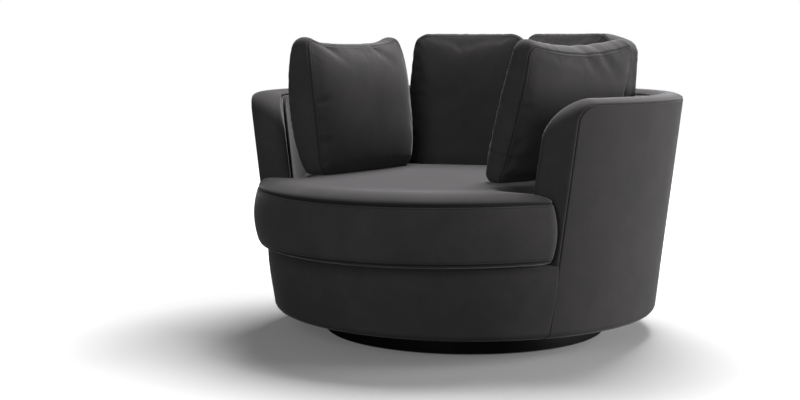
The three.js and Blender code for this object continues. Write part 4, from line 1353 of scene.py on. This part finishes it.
@dataclass
class SeatCushion:
    """The seat: one round-fronted boxed cushion whose ears stand ahead of the arms."""

    wardrobe: Wardrobe
    form: TubForm
    backs: list[BackCushion]
    front_reach: float = 0.68996
    wall_clearance: float = 0.004
    ear_clearance: float = 0.003
    ear_inset: float = 0.024
    under_swell: float = 0.014
    boxing: float = 0.154
    crown: float = 0.031
    crown_run: float = 0.075
    under_run: float = 0.045
    fullness: float = 0.5
    ear_depth: float = 0.28
    rear_crown: float = 0.021
    press_lead: float = 0.010
    press_run: float = 0.070
    side_swell: float = 0.014
    corner_rounding: float = 0.009
    front_steps: int = 200
    rear_steps: int = 240
    outline_points: int = 420
    panel_steps: int = 60

    @property
    def seam_low(self) -> float:
        """Height of the lower seam."""
        return self.form.deck_height + self.form.gap + self.under_swell

    @property
    def seam_high(self) -> float:
        """Height of the upper seam."""
        return self.seam_low + self.boxing

    def outline(self) -> Array:
        """Draws the seam line: an elliptical front, two ears, and a round rear inside the tub."""
        form = self.form
        rear = form.lining(form.deck_height) - self.wall_clearance - self.side_swell
        ear_back = form.arm_reach + form.rim_crown + self.ear_clearance + self.side_swell
        ear_tip = math.sqrt(form.outer(self.seam_high) ** 2 - form.arm_reach ** 2) - self.ear_inset
        across = ear_tip / math.sqrt(1 - (ear_back / self.front_reach) ** 2)
        tip_turn = math.acos(ear_back / self.front_reach)
        turns = np.linspace(-tip_turn, tip_turn, self.front_steps)
        front = np.stack([across * np.sin(turns), -self.front_reach * np.cos(turns)], axis=1)
        start = -math.asin(form.arm_reach / rear)
        angles = np.linspace(start, math.pi - start, self.rear_steps)
        back = np.stack([rear * np.cos(angles), rear * np.sin(angles)], axis=1)
        neck = back[0][0]
        joined = np.concatenate([front, [[neck, -ear_back]], back, [[-neck, -ear_back]]])
        return even_outline(joined, self.outline_points, self.corner_rounding)

    def make(self) -> None:
        """Builds and dresses the cushion."""
        outline = self.outline()
        middle = np.array([0.0, -self.form.arm_reach - self.ear_depth / 2])

        def over(places: Array) -> Array:
            """The upper panel's rise, pressed down where the back cushions stand."""
            behind = np.where(places[:, 0] < 0, self.backs[0].behind(places), self.backs[1].behind(places))
            pressed = smooth_step(-self.press_lead - self.press_run, -self.press_lead, behind)
            crown = self.crown + (self.rear_crown - self.crown) * pressed
            return crown * crown_share(soft_distance_to(outline, places), self.crown_run, self.fullness)

        def under(places: Array) -> Array:
            """The lower panel's small swell."""
            share = crown_share(distance_to(outline, places), self.under_run, self.fullness)
            return self.under_swell * share

        skin = CushionSkin(outline, middle, low=lambda places: np.full(len(places), self.seam_low),
                           high=lambda places: np.full(len(places), self.seam_high), under=under, over=over,
                           swell=self.side_swell, stitch_on_boxing=True, panel_steps=self.panel_steps)
        points = skin.points.copy()
        ear_back = -(self.form.arm_reach + self.form.rim_crown)
        share = smooth_step(ear_back, -self.form.arm_reach, points[:, 1])
        lining = self.form.lining(self.form.deck_height)
        growth = 1 + share * self.form.wall_flare * (points[:, 2] - self.seam_low) / lining
        points[:, 0] *= growth
        points[:, 1] = np.where(points[:, 1] > 0, points[:, 1] * growth, points[:, 1])
        points[:, 2] = np.maximum(points[:, 2], self.form.deck_height + self.form.gap)
        piece = piece_from("seat_cushion_cover", points, skin.faces, skin.seam)
        dress_cushion(self.wardrobe, piece, Body.SEAT, 0.8, "seat_cover")


@dataclass
class StandingCushion:
    """A boxed cushion that stands on the seat, in its own slanted frame.

    Attributes:
        side: -1 on the left and 1 on the right.
        yaw: How far it is turned, in degrees.
        lean: How far it leans, in degrees.
        end_room: How much narrower it is than the lining's radius.
        corner_pinch: How much nearer its seams lie at its corners.
        belly: How much further out its rear and its front seam lie between the corners.
        pulls: How far its right, upper, left and lower sides pull in.
        floor: Height of the seat under it.
        sink: How far its lower edge is pressed below that.
        fill: How full its padding is.
        boxing_fold: The share of a fold that its boxing takes.
        seam_clear: Distances from a seam between which a fold fades in.
        held_height: Height above the seat under which the settling cloth is held.
    """

    wardrobe: Wardrobe
    form: TubForm
    name: str
    node: str
    body: Body
    side: int
    yaw: float
    lean: float
    end_room: float
    height: float
    thickness: float
    crown: float
    rear_crown: float
    fullness: float
    corner_pinch: float
    belly: tuple[float, float]
    side_swell: float
    pulls: tuple[float, float, float, float]
    corner: float
    foot_corner: float
    # How strong the painted shadow in its seams is.
    seam_shadow_tone: float
    gather: float
    floor: float
    fill: float
    sink: float = 0.012
    boxing_fold: float = 0.4
    pull_shape: float = 2.0
    seam_clear: tuple[float, float] = (0.001, 0.012)
    held_height: float = 0.03
    folds: tuple[Fold, ...] = ()
    settling: Settling = field(default_factory=Settling)

    @property
    def width(self) -> float:
        """The cushion's width."""
        return self.form.lining(self.form.lining_top) - self.end_room

    def frame_axes(self) -> tuple[Vector, Vector, Vector]:
        """Its foot's middle, the way along it and the way up it."""
        raise NotImplementedError

    def placed(self) -> Array:
        """What carries the cushion's own plane into the chair: its three ways and its start, in columns."""
        foot, along, up = self.frame_axes()
        out = along.cross(up).normalized()
        return np.array(list(zip(along, up, out, foot - up * self.sink)))

    def skin(self) -> CushionSkin:
        """Draws the cover in the cushion's own plane."""
        tall = self.height + self.sink
        pillow = Pillow(self.width, tall, self.corner, self.foot_corner, self.pulls, self.pull_shape,
                        fullness=self.fullness)
        half = self.thickness / 2 - self.corner_pinch
        rear, front = self.belly
        return CushionSkin(pillow.outline(), np.array([0.0, tall / 2]),
                           low=lambda places: -half - rear * pillow.belly(places),
                           high=lambda places: half + front * pillow.belly(places),
                           under=lambda places: self.rear_crown * pillow.crown(places),
                           over=lambda places: self.crown * pillow.crown(places),
                           swell=self.side_swell, seam_shadow_tone=self.seam_shadow_tone, gather=self.gather,
                           gather_seed=7 + len(self.name))

    def folded(self, skin: CushionSkin) -> Array:
        """Moves the skin's points by the cushion's folds, which fade out at its seams.

        Args:
            skin: The cover.

        Returns:
            The points.
        """
        points = skin.points.copy()
        clear = smooth_step(*self.seam_clear, distance_to(skin.outline, points[:, :2]))
        beside = np.where(skin.face == 0, 1, 1 - clear)
        for fold in self.folds:
            lift = fold.lift(points[:, 0], points[:, 1]) * (skin.face >= 0)
            points[:, 2] += lift * (1 - beside) * skin.face
            centre = points[:, :2] - skin.middle
            way = centre / np.maximum(np.linalg.norm(centre, axis=1, keepdims=True), 1e-6)
            points[:, :2] += way * (lift * beside * self.boxing_fold)[:, None]
        return points

    def make(self) -> None:
        """Builds the cover, settles it, sets it on the seat and dresses it."""
        skin = self.skin()
        axes = self.placed()
        points = rest_on(self.folded(skin) @ axes[:, :3].T + axes[:, 3], self.floor)
        piece = piece_from(self.name, points, skin.faces, skin.seam)
        self.settling.run(piece, lambda rest: smooth_step(self.held_height, 0, rest[:, 2] - self.floor))
        settled = mesh_rows(piece.data, "co")
        settled[:, 2] = np.maximum(settled[:, 2], self.floor)
        move_points(piece, settled)
        dress_cushion(self.wardrobe, piece, self.body, self.fill, self.node)


@dataclass(frozen=True)
class Pillow:
    """A pillow's plane: a rounded rectangle standing on the X axis, its sides bowed between the corners.

    Attributes:
        corner: Radius of its upper corners.
        foot_corner: Radius of its lower corners.
        pulls: How far its right, upper, left and lower sides pull in, or out where negative.
        pull_shape: How soon the pulls reach their full depth, sooner above 2.
        squareness: How far its crown keeps the rectangle's shape.
        fullness: How steeply its panels rise at their seams, steeper below 1.
    """

    width: float
    height: float
    corner: float
    foot_corner: float
    pulls: tuple[float, float, float, float]
    pull_shape: float = 2.0
    squareness: float = 2.7
    fullness: float = 0.8
    corner_steps: int = 16
    side_steps: int = 60
    outline_points: int = 360
    rounding: float = 0.004

    def outline(self) -> Array:
        """Draws the seam line.

        Returns:
            Its points, running anticlockwise.
        """
        radii = [self.foot_corner, self.corner, self.corner, self.foot_corner]
        centres = [(1, radii[0]), (1, self.height - radii[1]), (-1, self.height - radii[2]), (-1, radii[3])]
        points: list[list[float]] = []

        def on_corner(index: int, turn: float) -> Array:
            """A point on one of the rounded corners."""
            (side, level), radius = centres[index], radii[index]
            return np.array([side * (self.width / 2 - radius) + radius * math.cos(turn),
                             level + radius * math.sin(turn)])

        for side in range(4):
            turn = side * math.pi / 2
            for share in np.linspace(0, 1, self.corner_steps)[:-1]:
                points.append(list(on_corner(side, turn - math.pi / 2 * (1 - share))))
            start, end = on_corner(side, turn), on_corner((side + 1) % 4, turn)
            inward = -np.array([math.cos(turn), math.sin(turn)]) * self.pulls[side]
            for share in np.linspace(0, 1, self.side_steps)[:-1]:
                pull = inward * (1 - abs(2 * share - 1) ** self.pull_shape)
                points.append(list(start + (end - start) * share + pull))
        return even_outline(np.array(points), self.outline_points, self.rounding)

    def shares(self, places: Array) -> tuple[Array, Array]:
        """How far places lie from the middle, as shares of the way to the sides.

        Args:
            places: Rows of x and y.

        Returns:
            The shares across and up.
        """
        right, upper, left, lower = self.pulls
        across = 2 * places[:, 0] / self.width
        up = 2 * places[:, 1] / self.height - 1
        side_pull = np.where(across > 0, right, left) * np.clip(1 - np.abs(up) ** self.pull_shape, 0, 1)
        end_pull = np.where(up > 0, upper, lower) * np.clip(1 - np.abs(across) ** self.pull_shape, 0, 1)
        half_width = self.width / 2 - side_pull
        half_height = self.height / 2 - end_pull
        return (np.clip(np.abs(places[:, 0]) / half_width, 0, 1),
                np.clip(np.abs(places[:, 1] - self.height / 2) / half_height, 0, 1))

    def crown(self, places: Array) -> Array:
        """How far a panel has risen at places, as a share of its crown."""
        across, up = self.shares(places)
        return ((1 - across ** self.squareness) * (1 - up ** self.squareness)) ** self.fullness

    def belly(self, places: Array) -> Array:
        """How far the seams stand apart at places: 0 at the corners, 1 between them."""
        across, up = self.shares(places)
        return 1 - (across * up) ** 2


def rest_on(points: Array, floor: float, softness: float = 0.006) -> Array:
    """Presses points that lie below a floor flat on it, with a soft turn at the edge.

    Args:
        points: Rows of x, y and z.
        floor: The floor's height.
        softness: How far the turn reaches.

    Returns:
        The pressed points.
    """
    drop = points[:, 2] - floor
    soft = (drop + softness) ** 2 / (4 * softness)
    pressed = points.copy()
    pressed[:, 2] = floor + np.where(drop > softness, drop, np.where(drop < -softness, 0, soft))
    return pressed


def solid_tree(solid: bpy.types.Object) -> BVHTree:
    """Makes a search tree of an object's faces."""
    return BVHTree.FromPolygons([vertex.co.copy() for vertex in solid.data.vertices],
                                [tuple(face.vertices) for face in solid.data.polygons])


def holds(tree: BVHTree, place: Vector) -> bool:
    """Says whether a closed solid holds a place, by counting the faces above it."""
    above, start = 0, place
    while (hit := tree.ray_cast(start, Vector((0, 0, 1)))[0]) is not None:
        above += 1
        start = hit + Vector((0, 0, 1e-5))
    return above % 2 == 1


def draw_in_at(piece: bpy.types.Object, tape: bpy.types.Object, proud: float = 0.0006,
               reach: float = 0.012, deepest: float = 0.008) -> None:
    """Draws a cover in along its zip, so that the zip lies on it.

    Args:
        piece: The cover.
        tape: The zip.
        proud: How far the zip stands out of the cover.
        reach: How far beside the zip the cover is drawn in.
        deepest: How far under the cover a zip is looked for.
    """
    tree = solid_tree(tape)
    vertices = piece.data.vertices
    normals = [vertex.normal.copy() for vertex in vertices]
    hits = [tree.ray_cast(vertex.co, -normal, deepest)[3] for vertex, normal in zip(vertices, normals)]
    depths = [hit for hit in hits if hit is not None]
    if not depths:
        log.info("%s: %s lies on it", piece.name, tape.name)
        return
    usual = float(np.median(depths))
    for vertex, normal, hit in zip(vertices, normals, hits):
        if hit is not None:
            vertex.co -= normal * (hit + proud)
            continue
        place, _, _, distance = tree.find_nearest(vertex.co, usual + reach)
        if place is None or (place - vertex.co).dot(normal) > 0:
            continue
        aside = math.sqrt(max(distance ** 2 - usual ** 2, 0))
        vertex.co -= normal * (min(distance, usual) + proud) * float(smooth_step(reach, 0.001, aside))
    piece.data.update()
    log.info("%s: drawn in %.1f mm at %s", piece.name, 1000 * usual, tape.name)


def keep_outside(piece: bpy.types.Object, core: bpy.types.Object, room: float = 0.0009) -> None:
    """Pushes out the points of a cover that a core inside it would come through.

    Args:
        piece: The cover.
        core: What it covers.
        room: Distance kept between them.
    """
    tree = solid_tree(core)
    pushed = 0
    for vertex in piece.data.vertices:
        place, normal, _, distance = tree.find_nearest(vertex.co)
        away = vertex.co - place
        inside = away.dot(normal) < 0 and holds(tree, vertex.co)
        if inside or distance < room:
            vertex.co = place + (normal if inside or distance < 1e-7 else away / distance) * room
            pushed += 1
    piece.data.update()
    log.info("%s: %d points pushed out of %s", piece.name, pushed, core.name)


def dress_cushion(wardrobe: Wardrobe, piece: bpy.types.Object, body: Body, fill: float, node: str) -> None:
    """Fits a cushion's cover round its zip and core, and dresses it.

    Args:
        wardrobe: The finishes.
        piece: The cover.
        body: What it moves with.
        fill: How full it is.
        node: The solid that it replaces.
    """
    draw_in_at(piece, bpy.data.objects[node.replace("_cover", "_zip")])
    keep_outside(piece, bpy.data.objects[node.replace("_cover", "_core")])
    wardrobe.dress(piece, Slot.FABRIC, body, node, fill)


@dataclass
class BackCushion(StandingCushion):
    """A back cushion: boxed, leaning back and turned a little towards its twin."""

    yaw: float = 18.0
    lean: float = 10.0
    end_room: float = 0.1913
    height: float = 0.437
    thickness: float = 0.146
    crown: float = 0.036
    rear_crown: float = 0.020
    fullness: float = 0.85
    corner_pinch: float = 0.007
    belly: tuple[float, float] = (0.007, 0.009)
    side_swell: float = 0.006
    pulls: tuple[float, float, float, float] = (0.0, 0.003, 0.0, 0.0)
    corner: float = 0.044
    foot_corner: float = 0.044
    # How strong the painted shadow in its seams is.
    seam_shadow_tone: float = 0.6
    gather: float = 0.0011
    floor: float = 0.4666
    fill: float = 0.75
    settling: Settling = field(default_factory=lambda: Settling(furthest=0.0035))
    meeting_gap: float = 0.0024
    wall_clearance: float = 0.0035

    def directions(self) -> tuple[Vector, Vector, Vector, Vector]:
        """Its foot, and the ways rearward, outwards and up."""
        yaw, lean = math.radians(self.yaw), math.radians(self.lean)
        rearward = Vector((self.side * math.sin(yaw), math.cos(yaw), 0))
        outwards = Vector((self.side * math.cos(yaw), -math.sin(yaw), 0))
        slope = Vector((0, 0, math.cos(lean))) + rearward * math.sin(lean)
        up = slope - outwards * (slope.x / outwards.x)
        deep = Vector((0, 0, -math.sin(lean))) + rearward * math.cos(lean)
        start = self.side * self.meeting_gap / 2
        far = Vector((start, 0, self.floor)) + outwards * self.width
        far += deep * self.thickness
        far += up * ((self.form.lining_top - far.z) / up.z)
        reach = self.form.lining(self.form.lining_top) - self.wall_clearance
        foot = Vector((start, math.sqrt(reach ** 2 - far.x ** 2) - far.y, self.floor))
        return foot, rearward, outwards, up

    def front_corner(self) -> Vector:
        """Where the lower outer corner of its front face stands."""
        foot, _, outwards, _ = self.directions()
        return foot + outwards * self.width

    def behind(self, places: Array) -> Array:
        """How far places on the seat lie behind the cushion's front face."""
        foot, rearward, _, _ = self.directions()
        return (places[:, 0] - foot.x) * rearward.x + (places[:, 1] - foot.y) * rearward.y

    def frame_axes(self) -> tuple[Vector, Vector, Vector]:
        """Its foot's middle, the way along it and the way up it."""
        foot, _, outwards, up = self.directions()
        along = outwards * self.side
        out = along.cross(up).normalized()
        return foot + outwards * (self.width / 2) - out * (self.thickness / 2), along, up


@dataclass
class ScatterCushion(StandingCushion):
    """A loose scatter cushion that stands by a back cushion and leans out on the arm."""

    yaw: float = 76.5
    lean: float = 16.0
    end_room: float = 0.0833
    height: float = 0.399
    thickness: float = 0.060
    crown: float = 0.039
    rear_crown: float = 0.039
    fullness: float = 0.75
    corner_pinch: float = 0.004
    belly: tuple[float, float] = (0.009, 0.009)
    side_swell: float = 0.009
    pulls: tuple[float, float, float, float] = (0.0, 0.020, 0.0, 0.0)
    corner: float = 0.026
    foot_corner: float = 0.034
    # How strong the painted shadow in its seams is.
    seam_shadow_tone: float = 0.5
    gather: float = 0.0009
    floor: float = 0.4766
    fill: float = 0.6
    outset: float = 0.026
    lead: float = 0.0195
    back: BackCushion | None = None

    def frame_axes(self) -> tuple[Vector, Vector, Vector]:
        """Its foot's middle, the way along it and the way up it."""
        yaw, lean = math.radians(self.yaw), math.radians(self.lean)
        along = Vector((math.cos(yaw), math.sin(yaw), 0))
        outward = Vector((self.side * math.sin(yaw), -self.side * math.cos(yaw), 0))
        up = Vector((0, 0, math.cos(lean))) + outward * math.sin(lean)
        out = along.cross(up).normalized()
        corner = self.back.front_corner()
        foot = Vector((corner.x + self.side * self.outset, corner.y - self.lead, self.floor))
        foot -= along * (self.width / 2) + out * (self.side * self.thickness / 2)
        return foot, along, up


def turned(name: str, profile: Sequence[tuple[float, float]], sides: int,
           wave: Callable[[float, float, float], float] | None = None) -> bpy.types.Object:
    """Turns a closed profile about the upright axis, or a disc where it starts and ends on the axis.

    Args:
        name: The piece's name.
        profile: Radius and height of each point.
        sides: How many steps the turn has.
        wave: Lifts a point, from its radius, height and angle.

    Returns:
        The piece.
    """
    angles = np.linspace(0, 2 * math.pi, sides, endpoint=False)
    solid = profile[0][0] < 1e-9
    rows = profile[1:-1] if solid else profile
    points = [(r * math.cos(a), r * math.sin(a), z + (wave(r, z, a) if wave else 0.0))
              for r, z in rows for a in angles]
    size = len(points)
    faces: list[tuple[int, ...]] = []
    for i in range(len(rows) - int(solid)):
        for k in range(sides):
            a, b = i * sides + k, i * sides + (k + 1) % sides
            faces.append((a, b, (b + sides) % size, (a + sides) % size))
    if solid:
        for height, first in ((profile[0][1], 0), (profile[-1][1], size - sides)):
            points.append((0.0, 0.0, height))
            faces += [(first + k, first + (k + 1) % sides, len(points) - 1) for k in range(sides)]
    return piece_from(name, np.array(points), faces)


@dataclass
class Deck:
    """The seat deck's felt and cloth, and the dust cover under the tub."""

    wardrobe: Wardrobe
    form: TubForm
    felt_radius: float = 0.5028
    felt_base: float = 0.2671
    felt_edge: float = 0.004
    cloth_radius: float = 0.5030
    cloth_base: float = 0.2653
    cloth_thickness: float = 0.0013
    cover_inside: float = 0.1594
    cover_outside: float = 0.5002
    cover_base: float = 0.0679
    cover_thickness: float = 0.0014
    cover_tucks: int = 28
    unevenness: float = 0.0006

    def make(self) -> None:
        """Builds and dresses the three layers."""
        self.felt()
        self.lining_cloth()
        self.dust_cover()

    def felt(self) -> None:
        """Lays the felt pad, with its rounded edge."""
        top = self.form.deck_height
        edge = self.felt_edge
        arc = [(self.felt_radius - edge * (1 - math.cos(turn)), top - edge * (1 - math.sin(turn)))
               for turn in np.linspace(0, math.pi / 2, 6)]
        inner = [(radius, top) for radius in np.linspace(self.felt_radius - edge, 0, 24)[1:]]
        profile = [(0.0, self.felt_base), (self.felt_radius, self.felt_base), *arc, *inner]
        felt = turned("deck_felt_pad", profile, 160, self.felt_lift)
        self.wardrobe.dress(felt, Slot.FELT, Body.TUB, "deck_felt", 0.3)

    def lining_cloth(self) -> None:
        """Stretches the lining cloth over the springs."""
        across = [float(r) for r in np.linspace(0, self.cloth_radius, 10)]
        profile = [(r, self.cloth_base) for r in across]
        profile += [(r, self.cloth_base + self.cloth_thickness) for r in reversed(across)]
        cloth = turned("deck_lining_cloth", profile, 120)
        self.wardrobe.dress(cloth, Slot.CLOTH, Body.TUB, "deck_cloth")

    def dust_cover(self) -> None:
        """Stretches the dust cover under the tub."""
        across = np.linspace(self.cover_inside, self.cover_outside, 14)
        low = [(float(r), self.cover_base) for r in across]
        high = [(float(r), self.cover_base + self.cover_thickness) for r in across[::-1]]
        cover = turned("dust_cover_cloth", low + high, 160, self.cover_lift)
        self.wardrobe.dress(cover, Slot.CLOTH, Body.TUB, "dust_cover")

    def felt_lift(self, radius: float, height: float, angle: float) -> float:
        """The felt's shallow unevenness, nowhere above its level."""
        if height < self.form.deck_height - 1e-6:
            return 0.0
        wave = math.sin(9 * radius / self.felt_radius + 2) * math.sin(5 * angle + 3 * radius)
        wave += math.sin(23 * radius + 7 * angle)
        return -self.unevenness * (2 + wave) * min(1.0, (self.felt_radius - radius) / 0.03)

    def cover_lift(self, radius: float, height: float, angle: float) -> float:
        """The dust cover's small upward tucks between its staples."""
        edge = (radius - self.cover_inside) / (self.cover_outside - self.cover_inside)
        return -self.unevenness * (1 - math.cos(self.cover_tucks * angle)) * edge ** 6


# Turned and pressed parts


class Bench:
    """Edit-mode work on one object, with faces and edges picked by their place."""

    SHARP_EDGE = 40.0
    ROUNDING_SEGMENTS = 3

    @staticmethod
    def cylinder(sides: int, radius: float, base: float, height: float) -> None:
        """Starts an upright cylinder on the turning axis and edits it.

        Args:
            sides: How many sides it has.
            radius: Its radius.
            base: Height of its underside.
            height: Its own height.
        """
        bpy.ops.object.select_all(action="DESELECT")
        bpy.ops.mesh.primitive_cylinder_add(vertices=sides, radius=radius, depth=height,
                                            location=(0, 0, base + height / 2))
        bpy.ops.object.mode_set(mode="EDIT")

    @staticmethod
    def pick(test: Callable[[Vector, Vector], bool], edges: bool = False) -> None:
        """Selects the edited object's faces, or its edges, that pass a test.

        Args:
            test: Takes the middle and the normal of a face, or the middle and the run of an edge.
            edges: Whether edges are picked.
        """
        bpy.ops.mesh.select_all(action="DESELECT")
        work = bmesh.from_edit_mesh(bpy.context.edit_object.data)
        bpy.context.tool_settings.mesh_select_mode = (False, edges, not edges)
        for part in work.edges if edges else work.faces:
            low, high = part.verts[:2]
            chosen = (test((low.co + high.co) / 2, high.co - low.co) if edges
                      else test(part.calc_center_median(), part.normal))
            if chosen:
                part.select_set(True)
        bmesh.update_edit_mesh(bpy.context.edit_object.data)

    @staticmethod
    def ease(test: Callable[[Vector, Vector], bool], width: float) -> None:
        """Rounds the edges that pass a test."""
        Bench.pick(test, edges=True)
        bpy.ops.mesh.bevel(offset=width, segments=Bench.ROUNDING_SEGMENTS, profile=0.5)

    @staticmethod
    def finish(name: str) -> bpy.types.Object:
        """Leaves edit mode, names the piece and puts its place in its mesh.

        Args:
            name: The piece's name.

        Returns:
            The piece.
        """
        bpy.ops.mesh.select_all(action="SELECT")
        bpy.ops.mesh.normals_make_consistent(inside=False)
        bpy.ops.object.mode_set(mode="OBJECT")
        piece = bpy.context.active_object
        piece.name = name
        piece.data.name = name
        bpy.ops.object.transform_apply(location=True, rotation=True, scale=True)
        bpy.ops.object.shade_smooth_by_angle(angle=math.radians(Bench.SHARP_EDGE))
        return piece


@dataclass
class Plinth:
    """The turned plinth's skirt and the felt glides under it."""

    wardrobe: Wardrobe
    radius: float = 0.425
    skirt_thickness: float = 0.016
    skirt_base: float = 0.0033
    skirt_top: float = 0.0638
    edge: float = 0.0018
    glide_radius: float = 0.030
    glide_sides: int = 72
    glide_thickness: float = 0.003
    glide_edge: float = 0.0008
    ring_outside: float = 0.419
    ring_width: float = 0.022
    sides: int = 256

    def make(self) -> None:
        """Builds and dresses the skirt and both glides."""
        skirt = self.ring("lacquered_skirt", self.radius, self.skirt_thickness, self.skirt_base,
                          self.skirt_top - self.skirt_base, self.edge)
        self.wardrobe.dress(skirt, Slot.LACQUER, Body.BASE, "plinth_skirt")
        glides = self.ring("felt_glide_ring", self.ring_outside, self.ring_width, 0.0, self.glide_thickness,
                           self.glide_edge)
        self.wardrobe.dress(glides, Slot.FELT, Body.BASE, "glide_ring")
        self.wardrobe.dress(self.centre_glide(), Slot.FELT, Body.BASE, "glide_centre")

    def ring(self, name: str, outside: float, width: float, base: float, height: float,
             edge: float) -> bpy.types.Object:
        """Turns a flat-sided ring with eased edges.

        Args:
            name: The piece's name.
            outside: Its outer radius.
            width: Of its wall.
            base: Height of its underside.
            height: Of its wall.
            edge: How wide its eased edges are.

        Returns:
            The ring.
        """
        Bench.cylinder(self.sides, outside, base, height)
        Bench.pick(lambda middle, normal: abs(normal.z) > 0.9)
        bpy.ops.mesh.inset(thickness=width, use_even_offset=True)
        bpy.ops.mesh.bridge_edge_loops()
        Bench.ease(lambda middle, run: abs(run.z) < 1e-6 and abs(abs(middle.z) - height / 2) < 1e-6
                   and math.hypot(run.x, run.y) < 0.9 * width, edge)
        return Bench.finish(name)

    def centre_glide(self) -> bpy.types.Object:
        """Cuts the middle glide, a disc with a softened rim."""
        Bench.cylinder(self.glide_sides, self.glide_radius, 0.0, self.glide_thickness)
        Bench.ease(lambda middle, run: abs(run.z) < 1e-6, self.glide_edge)
        return Bench.finish("felt_glide")


# Room


@dataclass
class Studio:
    """A white floor, soft lamps, and the camera at the photograph's place."""

    camera_place: tuple[float, float, float] = (2.0958, -3.7671, 0.8735)
    camera_turn: tuple[float, float, float] = (83.578, 0.0, 31.716)
    lens: float = 63.707
    sensor: float = 36.0
    floor_radius: float = 14.0
    floor_shade: str = "c2c2c2"
    bounce_shade: str = "6e6e6e"
    floor_glow: float = 0.08
    floor_fade: tuple[float, float] = (0.9, 1.9)
    room_light: float = 0.065
    chair_middle: tuple[float, float, float] = (0.0, 0.0, 0.4)

    def make(self) -> None:
        """Sets up the room."""
        scene = bpy.context.scene
        scene.view_settings.view_transform = "Standard"
        data = bpy.data.cameras.new("photograph_view")
        data.lens = self.lens
        data.sensor_width = self.sensor
        data.sensor_fit = "HORIZONTAL"
        camera = bpy.data.objects.new("photograph_view", data)
        camera.location = self.camera_place
        camera.rotation_euler = [math.radians(turn) for turn in self.camera_turn]
        scene.collection.objects.link(camera)
        scene.camera = camera
        self.floor()
        self.world()
        self.lamp("rear_overhead_softbox", (-0.20, 1.65, 4.2), self.chair_middle, 2.4, 385.0)
        self.lamp("front_softbox", (0.8, -5.0, 1.7), self.chair_middle, 2.4, 72.0)
        self.lamp("right_rear_softbox", (3.7, 1.8, 0.9), (0.3, 0.0, 0.35), 2.0, 200.0)

    def lamp(self, name: str, place: tuple[float, float, float], aim: tuple[float, float, float],
             size: float, power: float) -> None:
        """Hangs a square soft lamp.

        Args:
            name: The lamp's name.
            place: Where it hangs.
            aim: What it points at.
            size: Length of its sides.
            power: In watts.
        """
        data = bpy.data.lights.new(name, "AREA")
        data.shape = "SQUARE"
        data.size = size
        data.energy = power
        lamp = bpy.data.objects.new(name, data)
        lamp.location = place
        lamp.rotation_euler = (Vector(aim) - Vector(place)).to_track_quat("-Z", "Y").to_euler()
        bpy.context.scene.collection.objects.link(lamp)

    def floor(self) -> None:
        """Lays the white floor, which keeps the chair's shadow."""
        bpy.ops.object.select_all(action="DESELECT")
        bpy.ops.mesh.primitive_circle_add(vertices=96, radius=self.floor_radius, fill_type="NGON",
                                          location=(0, 0, -0.0004))
        floor = bpy.context.active_object
        floor.name = "studio_floor"
        sheet = NodeSheet.material("white_studio_floor")
        sheet.set(Roughness=0.9, Specular_IOR_Level=0.0)
        seen = sheet.add("ShaderNodeLightPath").outputs["Is Camera Ray"]
        sheet.tint(seen, (0.0, self.bounce_shade), (1.0, self.floor_shade))
        away = sheet.add("ShaderNodeVectorMath", {"operation": "LENGTH"}, {"Vector": sheet.place})
        sweep = sheet.span(away.outputs["Value"], self.floor_glow, 1.0, *self.floor_fade,
                           shape="SMOOTHSTEP")
        sheet.join(sheet.reckon("MULTIPLY", seen, sweep), "Emission Strength")
        floor.data.materials.append(sheet.owner)

    def world(self) -> None:
        """Gives the room its white backdrop and a dimmer light of its own."""
        world = bpy.data.worlds.new("white_backdrop")
        bpy.context.scene.world = world
        sheet = NodeSheet(world, "Background")
        sheet.set(Color=(1, 1, 1, 1))
        path = sheet.add("ShaderNodeLightPath").outputs
        seen = sheet.reckon("MAXIMUM", path["Is Camera Ray"], path["Is Transmission Ray"])
        sheet.join(sheet.span(seen, self.room_light, 1.0), "Strength")


def main() -> None:
    """Builds the room and the chair, piece by piece."""
    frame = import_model()
    Studio().make()
    wardrobe = Wardrobe()
    wardrobe.make()
    wardrobe.dress_frame(frame)
    form = TubForm()
    Plinth(wardrobe).make()
    TubUpholstery(wardrobe, form).make()
    Deck(wardrobe, form).make()
    backs = [BackCushion(wardrobe, form, f"{body.value}_cover", node, body, side)
             for node, body, side in (("back_left_cover", Body.BACK_LEFT, -1),
                                      ("back_right_cover", Body.BACK_RIGHT, 1))]
    SeatCushion(wardrobe, form, backs).make()
    for back in backs:
        back.make()
    ScatterCushion(wardrobe, form, "scatter_left_cushion_cover", "scatter_left_cover", Body.SCATTER_LEFT,
                   -1, back=backs[0], yaw=86.0, lean=7.0, outset=-0.0325, lead=0.0815, belly=(0.030, 0.010),
                   rear_crown=0.016, pulls=(-0.014, 0.021, -0.008, 0.0), pull_shape=4.0, foot_corner=0.060,
                   folds=(Fold((-0.165, 0.405), (-0.08, 0.330), width=0.020, depth=0.007),
                          Fold((0.065, 0.392), (0.165, 0.310), width=0.018, depth=0.005),
                          Fold((-0.256, 0.218), (-0.180, 0.236), width=0.009, depth=0.0035),
                          Fold((-0.256, 0.112), (-0.190, 0.100), width=0.009, depth=0.0035))).make()
    ScatterCushion(wardrobe, form, "scatter_right_cushion_cover", "scatter_right_cover",
                   Body.SCATTER_RIGHT, 1, back=backs[1],
                   folds=(Fold((-0.02, 0.412), (0.10, 0.300), width=0.020, depth=0.006),
                          Fold((0.06, 0.412), (0.20, 0.262), width=0.022, depth=0.006),
                          Fold((-0.250, 0.237), (-0.185, 0.243), width=0.010, depth=0.0035),
                          Fold((-0.250, 0.090), (-0.165, 0.080), width=0.014, depth=0.006))).make()


if __name__ == "__main__":
    main()
